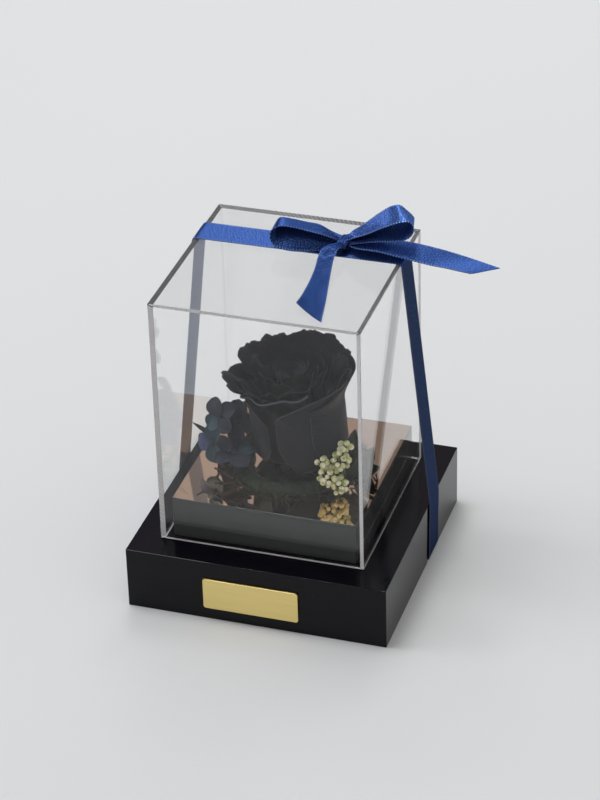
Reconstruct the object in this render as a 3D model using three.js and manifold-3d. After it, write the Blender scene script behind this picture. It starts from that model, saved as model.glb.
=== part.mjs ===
// A preserved rose box: a black base and plinth with a copper mirror top, a rose head with small
// flowers round its foot, a clear cover over them, and a satin ribbon tied round the whole.
// Millimetres, +Z up, +X to the right along the front, origin at the middle of the base's underside.
import * as THREE from "three";
import { mergeVertices } from "three/addons/utils/BufferGeometryUtils.js";
import Module from "manifold-3d";

const wasm = await Module();
wasm.setup();

// Driving dimensions: the case
const BASE_SIDE = 120;
const BASE_HEIGHT = 30;
const PLATE_WIDTH = 44;
const PLATE_HEIGHT = 15.4;
const PLATE_THICKNESS = 1;
const PLATE_CENTRE = { x: -2, z: 14 };
const PLATE_CORNER = 1.2;
const COVER_SIDE = 94;
const COVER_HEIGHT = 120;
const COVER_WALL = 2;
const COVER_CENTRE = { x: -0.7, y: -0.3 };
const PLINTH_SIDE = 84.6;
const MIRROR_TOP = 50;
const MIRROR_THICKNESS = 1.5;
const GAP = 0.3;
const OVERSHOOT = 1; // how far a cutter runs past what it cuts

// Driving dimensions: the ribbon
const RIBBON_WIDTH = 15;
const RIBBON_THICKNESS = 0.4;
const RIBBON_Y_TOP = 20;
const RIBBON_Y_BASE_TOP = 17.2;
const RIBBON_Y_BASE_FOOT = 16;
const CHANNEL_WIDTH = 17.5;
const CHANNEL_DEPTH = 1;
const RIBBON_FLOOR_CLEARANCE = 0.2;
const RIBBON_CORNER = { out: 0.8, down: 0.7 }; // where a side strip starts at the cover's top edge
const BOW_CUT = 9.5;
const BOW_CUT_STARTS = 0.7; // share of a tail's length
const PINCH = 0.5; // share of the ribbon's width that shows where a loop goes into the knot
const KNOT = { at: [19.1, 19, 154.4], radii: [3.5, 7.4, 2.8] };

// Driving dimensions: the rose
const ROSE_FOOT = { x: 4, y: 3 };
const ROSE_LEAN_LEFT = 4.5;
const ROSE_LEAN_FRONT = 4.4;
const ROSE_HEIGHT = 53;
const ROSE_BODY_RADIUS = 21.6;
const PETAL_THICKNESS = 0.6;
const PETAL_TUCK = -0.74;
const WHORL_STEP_BODY = 2.75;
const WHORL_STEP_FOOT = 1.7;
const OUTER_FOOT_HEIGHT = 2.2;
const BOWL_SHARE = 0.2; // share of the height over which a whorl widens from its foot
const FLARE_SHARE = 0.46; // share over which it then opens to its rim
const PETAL_ROOT_SHARE = 0.035;
const PETAL_ROOT_WIDTH = 0.5; // share of the petal's full width
const CORNER_POWER = 2.6;
const TURNED_SIDES = 14;
const HEART_PROFILE = [
  [0, 12], [3, 12.5], [6.4, 17], [6.8, 34], [8.8, 45], [7.4, 50.5], [3.5, 51.5], [0, 50],
];
const CONE_PROFILE = [
  [0, -3], [4.2, -3], [4.4, 1], [8.6, 3], [8.9, 3.8], [7.6, 5.4], [6.2, 7.2], [3.6, 10.4], [0, 11.3],
];

// Driving dimensions: round the foot
const FLORET_RADIUS = 9.5;
const FLORET_THICKNESS = 0.7;
const FLORET_NOTCH = 0.42; // radius between two of its petals, as a share of its full radius
const FLORET_LOBE_POWER = 0.55;
const FLORET_CUP = 0.16;
const FLORET_SPOKES = 24;
const LEAF_THICKNESS = 0.6;
const LEAF_TIP_HALF = 0.2;
const LEAF_BEND = 0.1;
const LEAF_FOLD = 0.16;
// Stems: where each stands, from there to its fork, and the radii of the bar up to the fork
const HYDRANGEA_STEM = { root: [-19, -12], toFork: [-3.5, 2, 6], start: 1, end: 0.8 };
const BERRY_STEM = { root: [27, -21], toFork: [0, 0, 4], start: 0.9, end: 0.7 };
const FORK_OVERLAP = 0.4; // how far that bar runs past the fork, into the branches
const MOSS_INNER_RADIUS = 26.4;
const MOSS_OUTER_RADIUS = 30.4;
const MOSS_HEIGHT = 4.6;
const MOSS_SHIFT = { x: -2.8, y: -2.6 }; // from the rose's foot to the ring's middle
const FLORET_BRANCH = { start: 0.6, end: 0.35 };
const BERRY_STALK = { start: 0.6, end: 0.5 };
const TWIG = { start: 0.75, end: 0.4 };
const SIDE_SHOOT = { start: 0.45, end: 0.3 };

const COVER_FOOT = BASE_HEIGHT + GAP;
const COVER_TOP = BASE_HEIGHT + COVER_HEIGHT;
const FOLIAGE_FLOOR = MIRROR_TOP + GAP;

// Finishes
const finish = (color, roughness, metalness = 0) =>
  new THREE.MeshStandardMaterial({ color, roughness, metalness });
const blackGloss = () => finish(0x0c0b0f, 0.08);
const goldPlate = () => finish(0xcdb870, 0.35, 1);
const copperMirror = () => finish(0xc98d6a, 0.04, 1);
const satinRibbon = () => finish(0x24468c, 0.4);
const petalNavy = () => finish(0x10131f, 0.75);
const floretBlue = () => finish(0x26355f, 0.7);
const leafGreen = () => finish(0x1b2418, 0.7);
const mossGreen = () => finish(0x1c2118, 0.95);
const berryGreen = () => finish(0xc3cba0, 0.6);
const twigBrown = () => finish(0x3a2a20, 0.85);

function clearAcrylic() {
  const material = finish(0xf4f6f8, 0.02);
  material.transparent = true;
  material.opacity = 0.2;
  return material;
}

const vec = (x, y, z) => new THREE.Vector3(x, y, z);
const smoothStep = (low, high, x) => THREE.MathUtils.smoothstep(x, low, high);
const radians = THREE.MathUtils.degToRad;

function mesh(name, geometry, material) {
  const made = new THREE.Mesh(geometry, material);
  made.name = name;
  return made;
}

function boxBetween(low, high) {
  const geometry = new THREE.BoxGeometry(high.x - low.x, high.y - low.y, high.z - low.z);
  const middle = low.clone().add(high).multiplyScalar(0.5);
  return geometry.translate(middle.x, middle.y, middle.z);
}

// A closed geometry as a solid that can be joined and cut
function toSolid(geometry) {
  const bare = geometry.clone();
  bare.deleteAttribute("normal");
  bare.deleteAttribute("uv");
  const merged = mergeVertices(bare, 1e-4);
  return new wasm.Manifold(
    new wasm.Mesh({
      numProp: 3,
      vertProperties: new Float32Array(merged.attributes.position.array),
      triVerts: new Uint32Array(merged.index.array),
    }),
  );
}

function toGeometry(solid) {
  const { vertProperties, triVerts } = solid.getMesh();
  const geometry = new THREE.BufferGeometry();
  geometry.setAttribute("position", new THREE.BufferAttribute(new Float32Array(vertProperties), 3));
  geometry.setIndex(new THREE.BufferAttribute(new Uint32Array(triVerts), 1));
  geometry.computeVertexNormals();
  return geometry;
}

const joined = (geometries) =>
  toGeometry(geometries.map(toSolid).reduce((sum, next) => sum.add(next)));
const cutBy = (geometry, cutter) => toGeometry(toSolid(geometry).subtract(toSolid(cutter)));

function geometryFrom(points, triangles) {
  const geometry = new THREE.BufferGeometry();
  geometry.setFromPoints(points);
  geometry.setIndex(triangles);
  geometry.computeVertexNormals();
  return geometry;
}

// A thin closed shell on both sides of the surface at(u, v), with u and v from 0 to 1
function shell(at, columns, rows, thickness) {
  const points = [];
  const index = (side, i, j) => (side * (rows + 1) + j) * (columns + 1) + i;
  for (const side of [1, -1])
    for (let j = 0; j <= rows; j++)
      for (let i = 0; i <= columns; i++) {
        const [u, v, step] = [i / columns, j / rows, 1e-3];
        const alongU = at(Math.min(u + step, 1), v).sub(at(Math.max(u - step, 0), v));
        const alongV = at(u, Math.min(v + step, 1)).sub(at(u, Math.max(v - step, 0)));
        const normal = alongU.cross(alongV).normalize();
        points.push(at(u, v).addScaledVector(normal, (side * thickness) / 2));
      }
  const triangles = [];
  const quad = (a, b, c, d) => triangles.push(a, b, c, a, c, d);
  for (let j = 0; j < rows; j++)
    for (let i = 0; i < columns; i++) {
      quad(index(0, i, j), index(0, i + 1, j), index(0, i + 1, j + 1), index(0, i, j + 1));
      quad(index(1, i, j), index(1, i, j + 1), index(1, i + 1, j + 1), index(1, i + 1, j));
    }
  for (let i = 0; i < columns; i++) {
    quad(index(0, i, 0), index(1, i, 0), index(1, i + 1, 0), index(0, i + 1, 0));
    quad(index(0, i + 1, rows), index(1, i + 1, rows), index(1, i, rows), index(0, i, rows));
  }
  for (let j = 0; j < rows; j++) {
    quad(index(0, 0, j + 1), index(1, 0, j + 1), index(1, 0, j), index(0, 0, j));
    quad(index(0, columns, j), index(1, columns, j), index(1, columns, j + 1), index(0, columns, j + 1));
  }
  return geometryFrom(points, triangles);
}

// A ribbon along a smooth line. Its width turns smoothly from one given direction to the next, and
// the direction's length is the share of the full width that shows there, where it is gathered.
// cut slants the far end, so that its one corner stands out by that much.
function ribbonAlong(stations, steps, cut = 0) {
  const line = new THREE.CatmullRomCurve3(stations.map((s) => vec(...s.at)));
  const across = new THREE.CatmullRomCurve3(stations.map((s) => vec(...s.across)));
  const at = (u, v) => {
    const tangent = line.getTangent(v);
    const width = across.getPoint(v);
    const share = width.length();
    width.addScaledVector(tangent, -width.dot(tangent)).setLength(share);
    const slant = (u - 0.5) * cut * smoothStep(BOW_CUT_STARTS, 1, v);
    return line
      .getPoint(v)
      .addScaledVector(width, (u - 0.5) * RIBBON_WIDTH)
      .addScaledVector(tangent, slant);
  };
  return shell(at, 1, steps, RIBBON_THICKNESS);
}

// A round bar through points, thinner towards its end
function taperedBar(from, to, startRadius, endRadius, sides = 5) {
  const length = from.distanceTo(to);
  const bar = new THREE.CylinderGeometry(endRadius, startRadius, length, sides);
  bar.translate(0, length / 2, 0);
  const turn = new THREE.Quaternion();
  turn.setFromUnitVectors(vec(0, 1, 0), to.clone().sub(from).normalize());
  return bar.applyQuaternion(turn).translate(from.x, from.y, from.z);
}

function blockOn(side, foot, top) {
  const half = side / 2;
  const { x, y } = COVER_CENTRE;
  return boxBetween(vec(x - half, y - half, foot), vec(x + half, y + half, top));
}

function caseParts() {
  const half = BASE_SIDE / 2;
  const block = boxBetween(vec(-half, -half, 0), vec(half, half, BASE_HEIGHT));
  const channel = boxBetween(
    vec(-half - OVERSHOOT, RIBBON_Y_BASE_FOOT - CHANNEL_WIDTH / 2, -OVERSHOOT),
    vec(half + OVERSHOOT, RIBBON_Y_BASE_FOOT + CHANNEL_WIDTH / 2, CHANNEL_DEPTH),
  );
  const outside = blockOn(COVER_SIDE, COVER_FOOT, COVER_TOP);
  const inside = blockOn(COVER_SIDE - 2 * COVER_WALL, COVER_FOOT - OVERSHOOT, COVER_TOP - COVER_WALL);
  const plinthTop = MIRROR_TOP - MIRROR_THICKNESS;
  return [
    mesh("base", cutBy(block, channel), blackGloss()),
    mesh("plinth", blockOn(PLINTH_SIDE, BASE_HEIGHT, plinthTop), blackGloss()),
    mesh("mirror_plate", blockOn(PLINTH_SIDE, plinthTop, MIRROR_TOP), copperMirror()),
    mesh("cover", cutBy(outside, inside), clearAcrylic()),
    namePlate(),
  ];
}

function namePlate() {
  const [x, y, r] = [PLATE_WIDTH / 2, PLATE_HEIGHT / 2, PLATE_CORNER];
  const outline = new THREE.Shape();
  outline.moveTo(-x + r, -y);
  outline.lineTo(x - r, -y);
  outline.absarc(x - r, -y + r, r, -Math.PI / 2, 0);
  outline.lineTo(x, y - r);
  outline.absarc(x - r, y - r, r, 0, Math.PI / 2);
  outline.lineTo(-x + r, y);
  outline.absarc(-x + r, y - r, r, Math.PI / 2, Math.PI);
  outline.lineTo(-x, -y + r);
  outline.absarc(-x + r, -y + r, r, Math.PI, Math.PI * 1.5);
  const plate = new THREE.ExtrudeGeometry(outline, {
    depth: PLATE_THICKNESS,
    bevelEnabled: false,
    curveSegments: 4,
  });
  const made = mesh("name_plate", plate, goldPlate());
  made.rotation.x = Math.PI / 2;
  made.position.set(PLATE_CENTRE.x, -BASE_SIDE / 2 - GAP / 2, PLATE_CENTRE.z);
  return made;
}

// The band round the box: over the cover, straight from its top edges out to the base's edges,
// down the base's sides and through the channel under it
function ribbonBand() {
  const acrossBox = [0, 1, 0];
  const skin = GAP + RIBBON_THICKNESS / 2;
  const [left, right] = [COVER_CENTRE.x - COVER_SIDE / 2, COVER_CENTRE.x + COVER_SIDE / 2];
  const topZ = COVER_TOP + skin;
  const underZ = RIBBON_FLOOR_CLEARANCE + RIBBON_THICKNESS / 2;
  const half = BASE_SIDE / 2;
  const side = (sign, edge) =>
    straightStrips([
      [edge + sign * RIBBON_CORNER.out, RIBBON_Y_TOP, topZ - RIBBON_CORNER.down],
      [sign * (half + skin), RIBBON_Y_BASE_TOP, BASE_HEIGHT],
      [sign * (half + skin), RIBBON_Y_BASE_FOOT, CHANNEL_DEPTH],
    ]);
  const flat = (from, to, y, z) =>
    ribbonAlong([{ at: [from, y, z], across: acrossBox }, { at: [to, y, z], across: acrossBox }], 1);
  return [
    mesh("ribbon_over_top", flat(left, right, RIBBON_Y_TOP, topZ), satinRibbon()),
    mesh("ribbon_side_left", side(-1, left), satinRibbon()),
    mesh("ribbon_side_right", side(1, right), satinRibbon()),
    mesh("ribbon_under", flat(-half, half, RIBBON_Y_BASE_FOOT, underZ), satinRibbon()),
  ];
}

// A taut strip with a sharp fold at each inner point; its width lies along Y
function straightStrips(points) {
  const at = (u, v) => {
    const place = v * (points.length - 1);
    const i = Math.min(Math.floor(place), points.length - 2);
    const point = vec(...points[i]).lerp(vec(...points[i + 1]), place - i);
    return point.add(vec(0, (u - 0.5) * RIBBON_WIDTH, 0));
  };
  return shell(at, 1, points.length - 1, RIBBON_THICKNESS);
}

function bow() {
  const pinched = (places, tilt) =>
    places.map((at, i) => {
      const share = i === 0 || i === places.length - 1 ? PINCH : 1;
      return { at, across: [0, share, share * tilt] };
    });
  const loopLeft = pinched([
    [15, 19, 156], [8, 19.4, 158.6], [0, 20, 160.9], [-8, 20.2, 160.4], [-13.4, 20.2, 156.6],
    [-10.5, 20, 153], [-2, 19.6, 152.6], [8, 19.2, 152.9], [15, 19, 153.6],
  ], -0.16);
  const loopRight = pinched([
    [23, 19.4, 157.2], [29, 20.4, 162], [36.5, 21, 167.6], [43.5, 21, 170], [49.6, 20.6, 168],
    [49.4, 20.4, 164], [41, 20.2, 160.6], [31, 20, 158], [23, 19.4, 155.8],
  ], 0.07);
  const tailFront = [
    { at: [18.2, 10.6, 153.2], across: [0.35, 0, 0] },
    { at: [18, 2, 154], across: [0.4, 0, -0.15] },
    { at: [19, -13, 153.4], across: [0.58, 0, -0.2] },
    { at: [20.4, -27, 152.2], across: [0.85, 0, -0.05] },
    { at: [21.2, -37.5, 151.4], across: [1, 0, 0] },
  ];
  const tailRight = [
    { at: [23.2, 18.6, 153.6], across: [0, 0.5, 0] },
    { at: [33, 18.8, 153.4], across: [0, 1, 0] },
    { at: [47, 19, 152.9], across: [0, 1, 0] },
    { at: [63, 19, 151.6], across: [0, 1, -0.03] },
    { at: [81.8, 19, 149.2], across: [0, 1, -0.18] },
  ];
  const knot = new THREE.SphereGeometry(1, 10, 6).scale(...KNOT.radii).translate(...KNOT.at);
  return [
    mesh("bow_knot", knot, satinRibbon()),
    mesh("bow_loop_left", ribbonAlong(loopLeft, 16), satinRibbon()),
    mesh("bow_loop_right", ribbonAlong(loopRight, 16), satinRibbon()),
    mesh("bow_tail_front", ribbonAlong(tailFront, 8, BOW_CUT), satinRibbon()),
    mesh("bow_tail_right", ribbonAlong(tailRight, 9, BOW_CUT), satinRibbon()),
  ];
}

// Whorls of petals from the outside in: where each petal faces and half its width in degrees, how high
// its middle reaches, how far its corners drop, and how wide the whorl opens at its rim
const WHORLS = [
  {
    petals: [[-44, 51], [196, 53], [33, 42], [111, 48]],
    height: 45, corner: 15, rim: 29.5, opensAt: 0.55,
  },
  {
    petals: [[-108, 43], [-28, 41], [46, 37], [114, 36], [184, 38]],
    height: 51, corner: 9, rim: 35.5, opensAt: 0.68,
  },
  {
    petals: [[-74, 42], [8, 44], [84, 36], [150, 36], [218, 35]],
    height: 52.4, corner: 6, rim: 29, opensAt: 0.66,
  },
  {
    petals: [[-120, 48], [-25, 51], [70, 49], [160, 46]],
    height: 52, corner: 4.5, rim: 21.5, opensAt: 0.66,
  },
  {
    petals: [[-30, 65], [90, 64], [210, 62]],
    height: 50.8, corner: 3.5, rim: 15.5, opensAt: 0.66,
  },
];

// The cup that one whorl's petals lie on: radius and height, with t from 0 at its foot to 1 at the rim
function cup(whorl, t) {
  const body = ROSE_BODY_RADIUS - whorl * WHORL_STEP_BODY;
  const { rim, opensAt } = WHORLS[whorl];
  const foot = OUTER_FOOT_HEIGHT + whorl * WHORL_STEP_FOOT;
  const bowl = Math.sqrt(1 - (1 - Math.min(t / BOWL_SHARE, 1)) ** 2);
  const flare = smoothStep(opensAt, opensAt + FLARE_SHARE, t);
  return { r: body * bowl + (rim - body) * flare, z: foot + (ROSE_HEIGHT - foot) * t };
}

// One petal on its whorl's cup. Each petal's one edge lies in front of its neighbour and the other
// behind the next one, more so near the rim.
function petalGeometry(whorl, facing, spread) {
  const { height, corner } = WHORLS[whorl];
  const at = (u, v) => {
    const side = 2 * u - 1;
    const top = (height - corner * Math.abs(side) ** CORNER_POWER) / ROSE_HEIGHT;
    const t = PETAL_ROOT_SHARE + (top - PETAL_ROOT_SHARE) * v;
    const [here, next] = [cup(whorl, t), cup(whorl, t + 1e-3)];
    const slope = Math.hypot(next.r - here.r, next.z - here.z);
    const outwards = { r: (next.z - here.z) / slope, z: -(next.r - here.r) / slope };
    const narrow = PETAL_ROOT_WIDTH + (1 - PETAL_ROOT_WIDTH) * smoothStep(0, 0.45, v);
    const angle = radians(facing + side * spread * narrow);
    const tuck = PETAL_TUCK * side * (1 + smoothStep(0.64, 0.95, t));
    const r = here.r + outwards.r * tuck;
    const z = here.z + outwards.z * tuck;
    return vec(r * Math.cos(angle), r * Math.sin(angle), z);
  };
  return shell(at, 6, 6, PETAL_THICKNESS);
}

// A solid of revolution about Z from a profile of [radius, height]
function turned(profile, sides) {
  const points = profile.map(([r, z]) => new THREE.Vector2(r, z));
  return new THREE.LatheGeometry(points, sides).rotateX(Math.PI / 2);
}

function roseHead() {
  const head = new THREE.Group();
  head.position.set(ROSE_FOOT.x, ROSE_FOOT.y, MIRROR_TOP);
  head.rotation.set(radians(ROSE_LEAN_FRONT), radians(-ROSE_LEAN_LEFT), 0);
  WHORLS.forEach(({ petals }, whorl) => {
    petals.forEach(([facing, spread], i) => {
      const name = `rose_petal_${whorl + 1}_${i + 1}`;
      head.add(mesh(name, petalGeometry(whorl, facing, spread), petalNavy()));
    });
  });
  head.add(mesh("rose_heart", turned(HEART_PROFILE, TURNED_SIDES), petalNavy()));
  return head;
}

// The cut stem's end swells into the cone that the petals grow from. It leans with the head and is
// cut level where it stands on the mirror.
function receptacle(head) {
  head.updateMatrix();
  const leaning = turned(CONE_PROFILE, TURNED_SIDES).applyMatrix4(head.matrix);
  const below = blockOn(PLINTH_SIDE, BASE_HEIGHT, FOLIAGE_FLOOR);
  return mesh("rose_receptacle", cutBy(leaning, below), leafGreen());
}

// Moss lies in a low ring round the rose's foot
function mossCollar() {
  const profile = [
    [MOSS_INNER_RADIUS, 0],
    [MOSS_OUTER_RADIUS, 0],
    [MOSS_OUTER_RADIUS - 0.6, MOSS_HEIGHT * 0.55],
    [MOSS_OUTER_RADIUS - 2, MOSS_HEIGHT - 0.2],
    [MOSS_INNER_RADIUS + 0.5, MOSS_HEIGHT],
    [MOSS_INNER_RADIUS, 0],
  ];
  const made = mesh("moss_collar", turned(profile, 24), mossGreen());
  made.position.set(ROSE_FOOT.x + MOSS_SHIFT.x, ROSE_FOOT.y + MOSS_SHIFT.y, FOLIAGE_FLOOR);
  return made;
}

// A four-petalled floret, cupped, facing +Z
function floretGeometry(radius) {
  const [spokes, top, bottom] = [FLORET_SPOKES, [], []];
  const lobe = (a) => Math.abs(Math.cos(2 * a)) ** FLORET_LOBE_POWER;
  const edge = (a) => radius * (FLORET_NOTCH + (1 - FLORET_NOTCH) * lobe(a));
  const rise = (r) => FLORET_CUP * radius * (r / radius) ** 2;
  for (let ring = 1; ring <= 2; ring++)
    for (let i = 0; i < spokes; i++) {
      const a = (i / spokes) * Math.PI * 2;
      const r = (edge(a) * ring) / 2;
      top.push(vec(r * Math.cos(a), r * Math.sin(a), rise(r) + FLORET_THICKNESS / 2));
      bottom.push(vec(r * Math.cos(a), r * Math.sin(a), rise(r) - FLORET_THICKNESS / 2));
    }
  const points = [vec(0, 0, FLORET_THICKNESS / 2), ...top, vec(0, 0, -FLORET_THICKNESS / 2), ...bottom];
  const under = 1 + 2 * spokes;
  const triangles = [];
  for (let i = 0; i < spokes; i++) {
    const j = (i + 1) % spokes;
    const [a, b, c, d] = [1 + i, 1 + j, 1 + spokes + i, 1 + spokes + j];
    triangles.push(0, a, b, a, c, d, a, d, b);
    triangles.push(under, under + b, under + a, under + a, under + d, under + c);
    triangles.push(under + a, under + b, under + d, c, under + c, under + d, c, under + d, d);
  }
  return geometryFrom(points, triangles);
}

// Florets: middle, the direction that each faces, its turn in degrees and its size
const FLORETS = [
  { at: [-30.2, -10.6, 75.2], faces: [-0.3, -0.85, 0.45], turn: 40, size: 0.82 },
  { at: [-24, -8.4, 71.8], faces: [-0.2, -0.9, 0.35], turn: -3, size: 0.72 },
  { at: [-32.6, -13.6, 62.4], faces: [-0.25, -0.93, 0.25], turn: -12, size: 0.78 },
  { at: [-27, 14, 66], faces: [-0.85, 0.2, 0.5], turn: 20, size: 0.9 },
  { at: [-20.4, -17.4, 58.6], faces: [0.05, -0.15, 1], turn: 25, size: 0.84 },
  { at: [-32, 3, 64], faces: [-0.8, -0.1, 0.6], turn: 15, size: 0.9 },
];

function hydrangeaFlorets() {
  return FLORETS.map(({ at, faces, turn, size }, i) => {
    const made = mesh(`hydrangea_floret_${i + 1}`, floretGeometry(FLORET_RADIUS * size), floretBlue());
    made.position.set(...at);
    made.quaternion.setFromUnitVectors(vec(0, 0, 1), vec(...faces).normalize());
    made.rotateZ(radians(turn));
    return made;
  });
}

// The lower part of a stem, from its root up to the fork
function stemFoot({ root, toFork, start, end }, lift) {
  const from = vec(...root, FOLIAGE_FLOOR + lift);
  const fork = from.clone().add(vec(...toFork));
  return { fork, foot: taperedBar(from, fork.clone().add(vec(0, 0, FORK_OVERLAP)), start, end) };
}

// One branching stem carries the florets: each branch ends just under its floret
function hydrangeaStem() {
  const { fork, foot } = stemFoot(HYDRANGEA_STEM, 0.4);
  const { start, end: endRadius } = FLORET_BRANCH;
  const below = -(FLORET_THICKNESS / 2 + 2 * GAP);
  const branches = FLORETS.map(({ at, faces }) => {
    const end = vec(...at).addScaledVector(vec(...faces).normalize(), below);
    return taperedBar(fork, end, start, endRadius);
  });
  return mesh("hydrangea_stem", joined([foot, ...branches]), twigBrown());
}

// Berries sit in small round umbels: middle and radius out to the berries' tips
const UMBELS = [
  { at: [29.2, -16, 72.8], radius: 4 },
  { at: [28.2, -18.6, 66.6], radius: 5.3 },
  { at: [20.4, -22, 66.4], radius: 4 },
  { at: [23.2, -22.5, 60], radius: 5.7 },
  { at: [28.2, -22, 55.8], radius: 5.2 },
];

function berrySprig() {
  const { fork, foot } = stemFoot(BERRY_STEM, 0.1);
  const pieces = UMBELS.flatMap(({ at, radius }) => [
    taperedBar(fork, vec(...at), BERRY_STALK.start, BERRY_STALK.end),
    new THREE.IcosahedronGeometry(radius, 1).translate(...at),
  ]);
  return mesh("berry_sprig", joined([foot, ...pieces]), berryGreen());
}

// Leaves: foot, tip, width and which way the blade faces
const LEAVES = [
  { foot: [28, -9, 57], tip: [31, -6, 75.5], width: 7.5, faces: [0.2, -1, 0.2] },
  { foot: [32.5, -14.5, 55], tip: [36.5, -12, 69], width: 6, faces: [0.3, -1, 0.3] },
  { foot: [31, -9, 51.5], tip: [41, -8, 58.5], width: 8, faces: [-0.2, -0.6, 0.8] },
  { foot: [32.5, -16, 51], tip: [39, -22.5, 54.5], width: 6, faces: [-0.3, 0.2, 0.9] },
  { foot: [-33.5, -6, 58], tip: [-43.5, -10.5, 69.5], width: 2.6, faces: [0.4, -0.6, 0.7] },
  { foot: [32.4, 2, 52], tip: [36, 1, 62.5], width: 7, faces: [0.3, -1, 0.2] },
];

function leaves() {
  return LEAVES.map(({ foot, tip, width, faces }, i) => {
    const [from, to] = [vec(...foot), vec(...tip)];
    const along = to.clone().sub(from);
    const across = vec(...faces).cross(along).normalize();
    const face = along.clone().cross(across).normalize();
    const at = (u, v) => {
      const half = Math.max(width * 0.5 * Math.sin(Math.PI * v ** 0.8), LEAF_TIP_HALF);
      const side = 2 * u - 1;
      const arch = LEAF_BEND * along.length() * Math.sin(Math.PI * v);
      const bend = arch + LEAF_FOLD * half * Math.abs(side);
      const point = from.clone().addScaledVector(along, v);
      return point.addScaledVector(across, side * half).addScaledVector(face, bend);
    };
    return mesh(`leaf_${i + 1}`, shell(at, 4, 6, LEAF_THICKNESS), leafGreen());
  });
}

// A twig: a bar from foot to tip with side shoots, each from a share of the way up
function twig(name, foot, tip, shoots) {
  const [from, to] = [vec(...foot), vec(...tip)];
  const { start, end: tipRadius } = SIDE_SHOOT;
  const bars = shoots.map(({ share, end }) =>
    taperedBar(from.clone().lerp(to, share), vec(...end), start, tipRadius, 4),
  );
  return mesh(name, joined([taperedBar(from, to, TWIG.start, TWIG.end), ...bars]), twigBrown());
}

function twigs() {
  return [
    twig("twig_left", [-21, -22.5, FOLIAGE_FLOOR + 0.9], [-30, -21, 54], [
      { share: 0.3, end: [-26.5, -22.5, 51.6] },
      { share: 0.55, end: [-28, -23, 52.4] },
    ]),
    twig("twig_right", [40.4, -13, FOLIAGE_FLOOR + 0.2], [40.6, -12.2, 57], [
      { share: 0.5, end: [38.6, -13.5, 57] },
    ]),
  ];
}

const head = roseHead();
const group = new THREE.Group();
group.add(...caseParts(), ...ribbonBand(), ...bow());
group.add(head, receptacle(head), mossCollar());
group.add(...hydrangeaFlorets(), hydrangeaStem(), berrySprig(), ...leaves(), ...twigs());

export default group;
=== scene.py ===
import math
import random

import bpy
import bmesh
from mathutils import Matrix, Vector, noise


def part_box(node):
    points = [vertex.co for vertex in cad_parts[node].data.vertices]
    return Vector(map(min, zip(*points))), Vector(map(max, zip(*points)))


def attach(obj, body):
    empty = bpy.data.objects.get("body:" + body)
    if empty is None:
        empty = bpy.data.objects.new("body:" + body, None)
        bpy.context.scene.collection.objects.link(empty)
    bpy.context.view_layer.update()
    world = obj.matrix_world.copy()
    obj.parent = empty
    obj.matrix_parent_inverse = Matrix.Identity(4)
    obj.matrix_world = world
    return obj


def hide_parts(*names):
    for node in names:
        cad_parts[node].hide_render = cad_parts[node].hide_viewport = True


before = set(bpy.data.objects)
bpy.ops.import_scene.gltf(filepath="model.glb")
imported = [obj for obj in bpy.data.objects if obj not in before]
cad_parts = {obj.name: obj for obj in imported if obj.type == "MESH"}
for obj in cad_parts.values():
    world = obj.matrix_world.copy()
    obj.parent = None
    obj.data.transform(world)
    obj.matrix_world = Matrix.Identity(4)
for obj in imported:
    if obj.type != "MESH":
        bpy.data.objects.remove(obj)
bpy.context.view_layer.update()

mm = 0.001
print("frame loaded:", len(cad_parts), "nodes")


# small sums that every piece uses
def mix(a, b, t):
    return a + (b - a) * t


def smoothStep(low, high, x):
    t = min(max((x - low) / (high - low), 0.0), 1.0)
    return t * t * (3 - 2 * t)


def splinePoint(points, s):
    # smooth line through the points, s runs from 0 to 1
    place = min(max(s, 0.0), 1.0) * (len(points) - 1)
    i = min(int(place), len(points) - 2)
    t = place - i
    here, after = points[i], points[i + 1]
    before = points[i - 1] if i > 0 else here * 2 - after
    beyond = points[i + 2] if i + 2 < len(points) else after * 2 - here
    bend = (before * 2 - here * 5 + after * 4 - beyond) * t * t
    twist = (here * 3 - before - after * 3 + beyond) * t ** 3
    return (here * 2 + (after - before) * t + bend + twist) * 0.5


def wobble(x, y=0.0, z=0.0):
    return noise.noise(Vector((x, y, z)))


def circlePoint(angle, radius=1.0, z=0.0):
    return Vector((radius * math.cos(angle), radius * math.sin(angle), z))


def boxMm(node):
    low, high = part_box(node)
    return low / mm, high / mm


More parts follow.
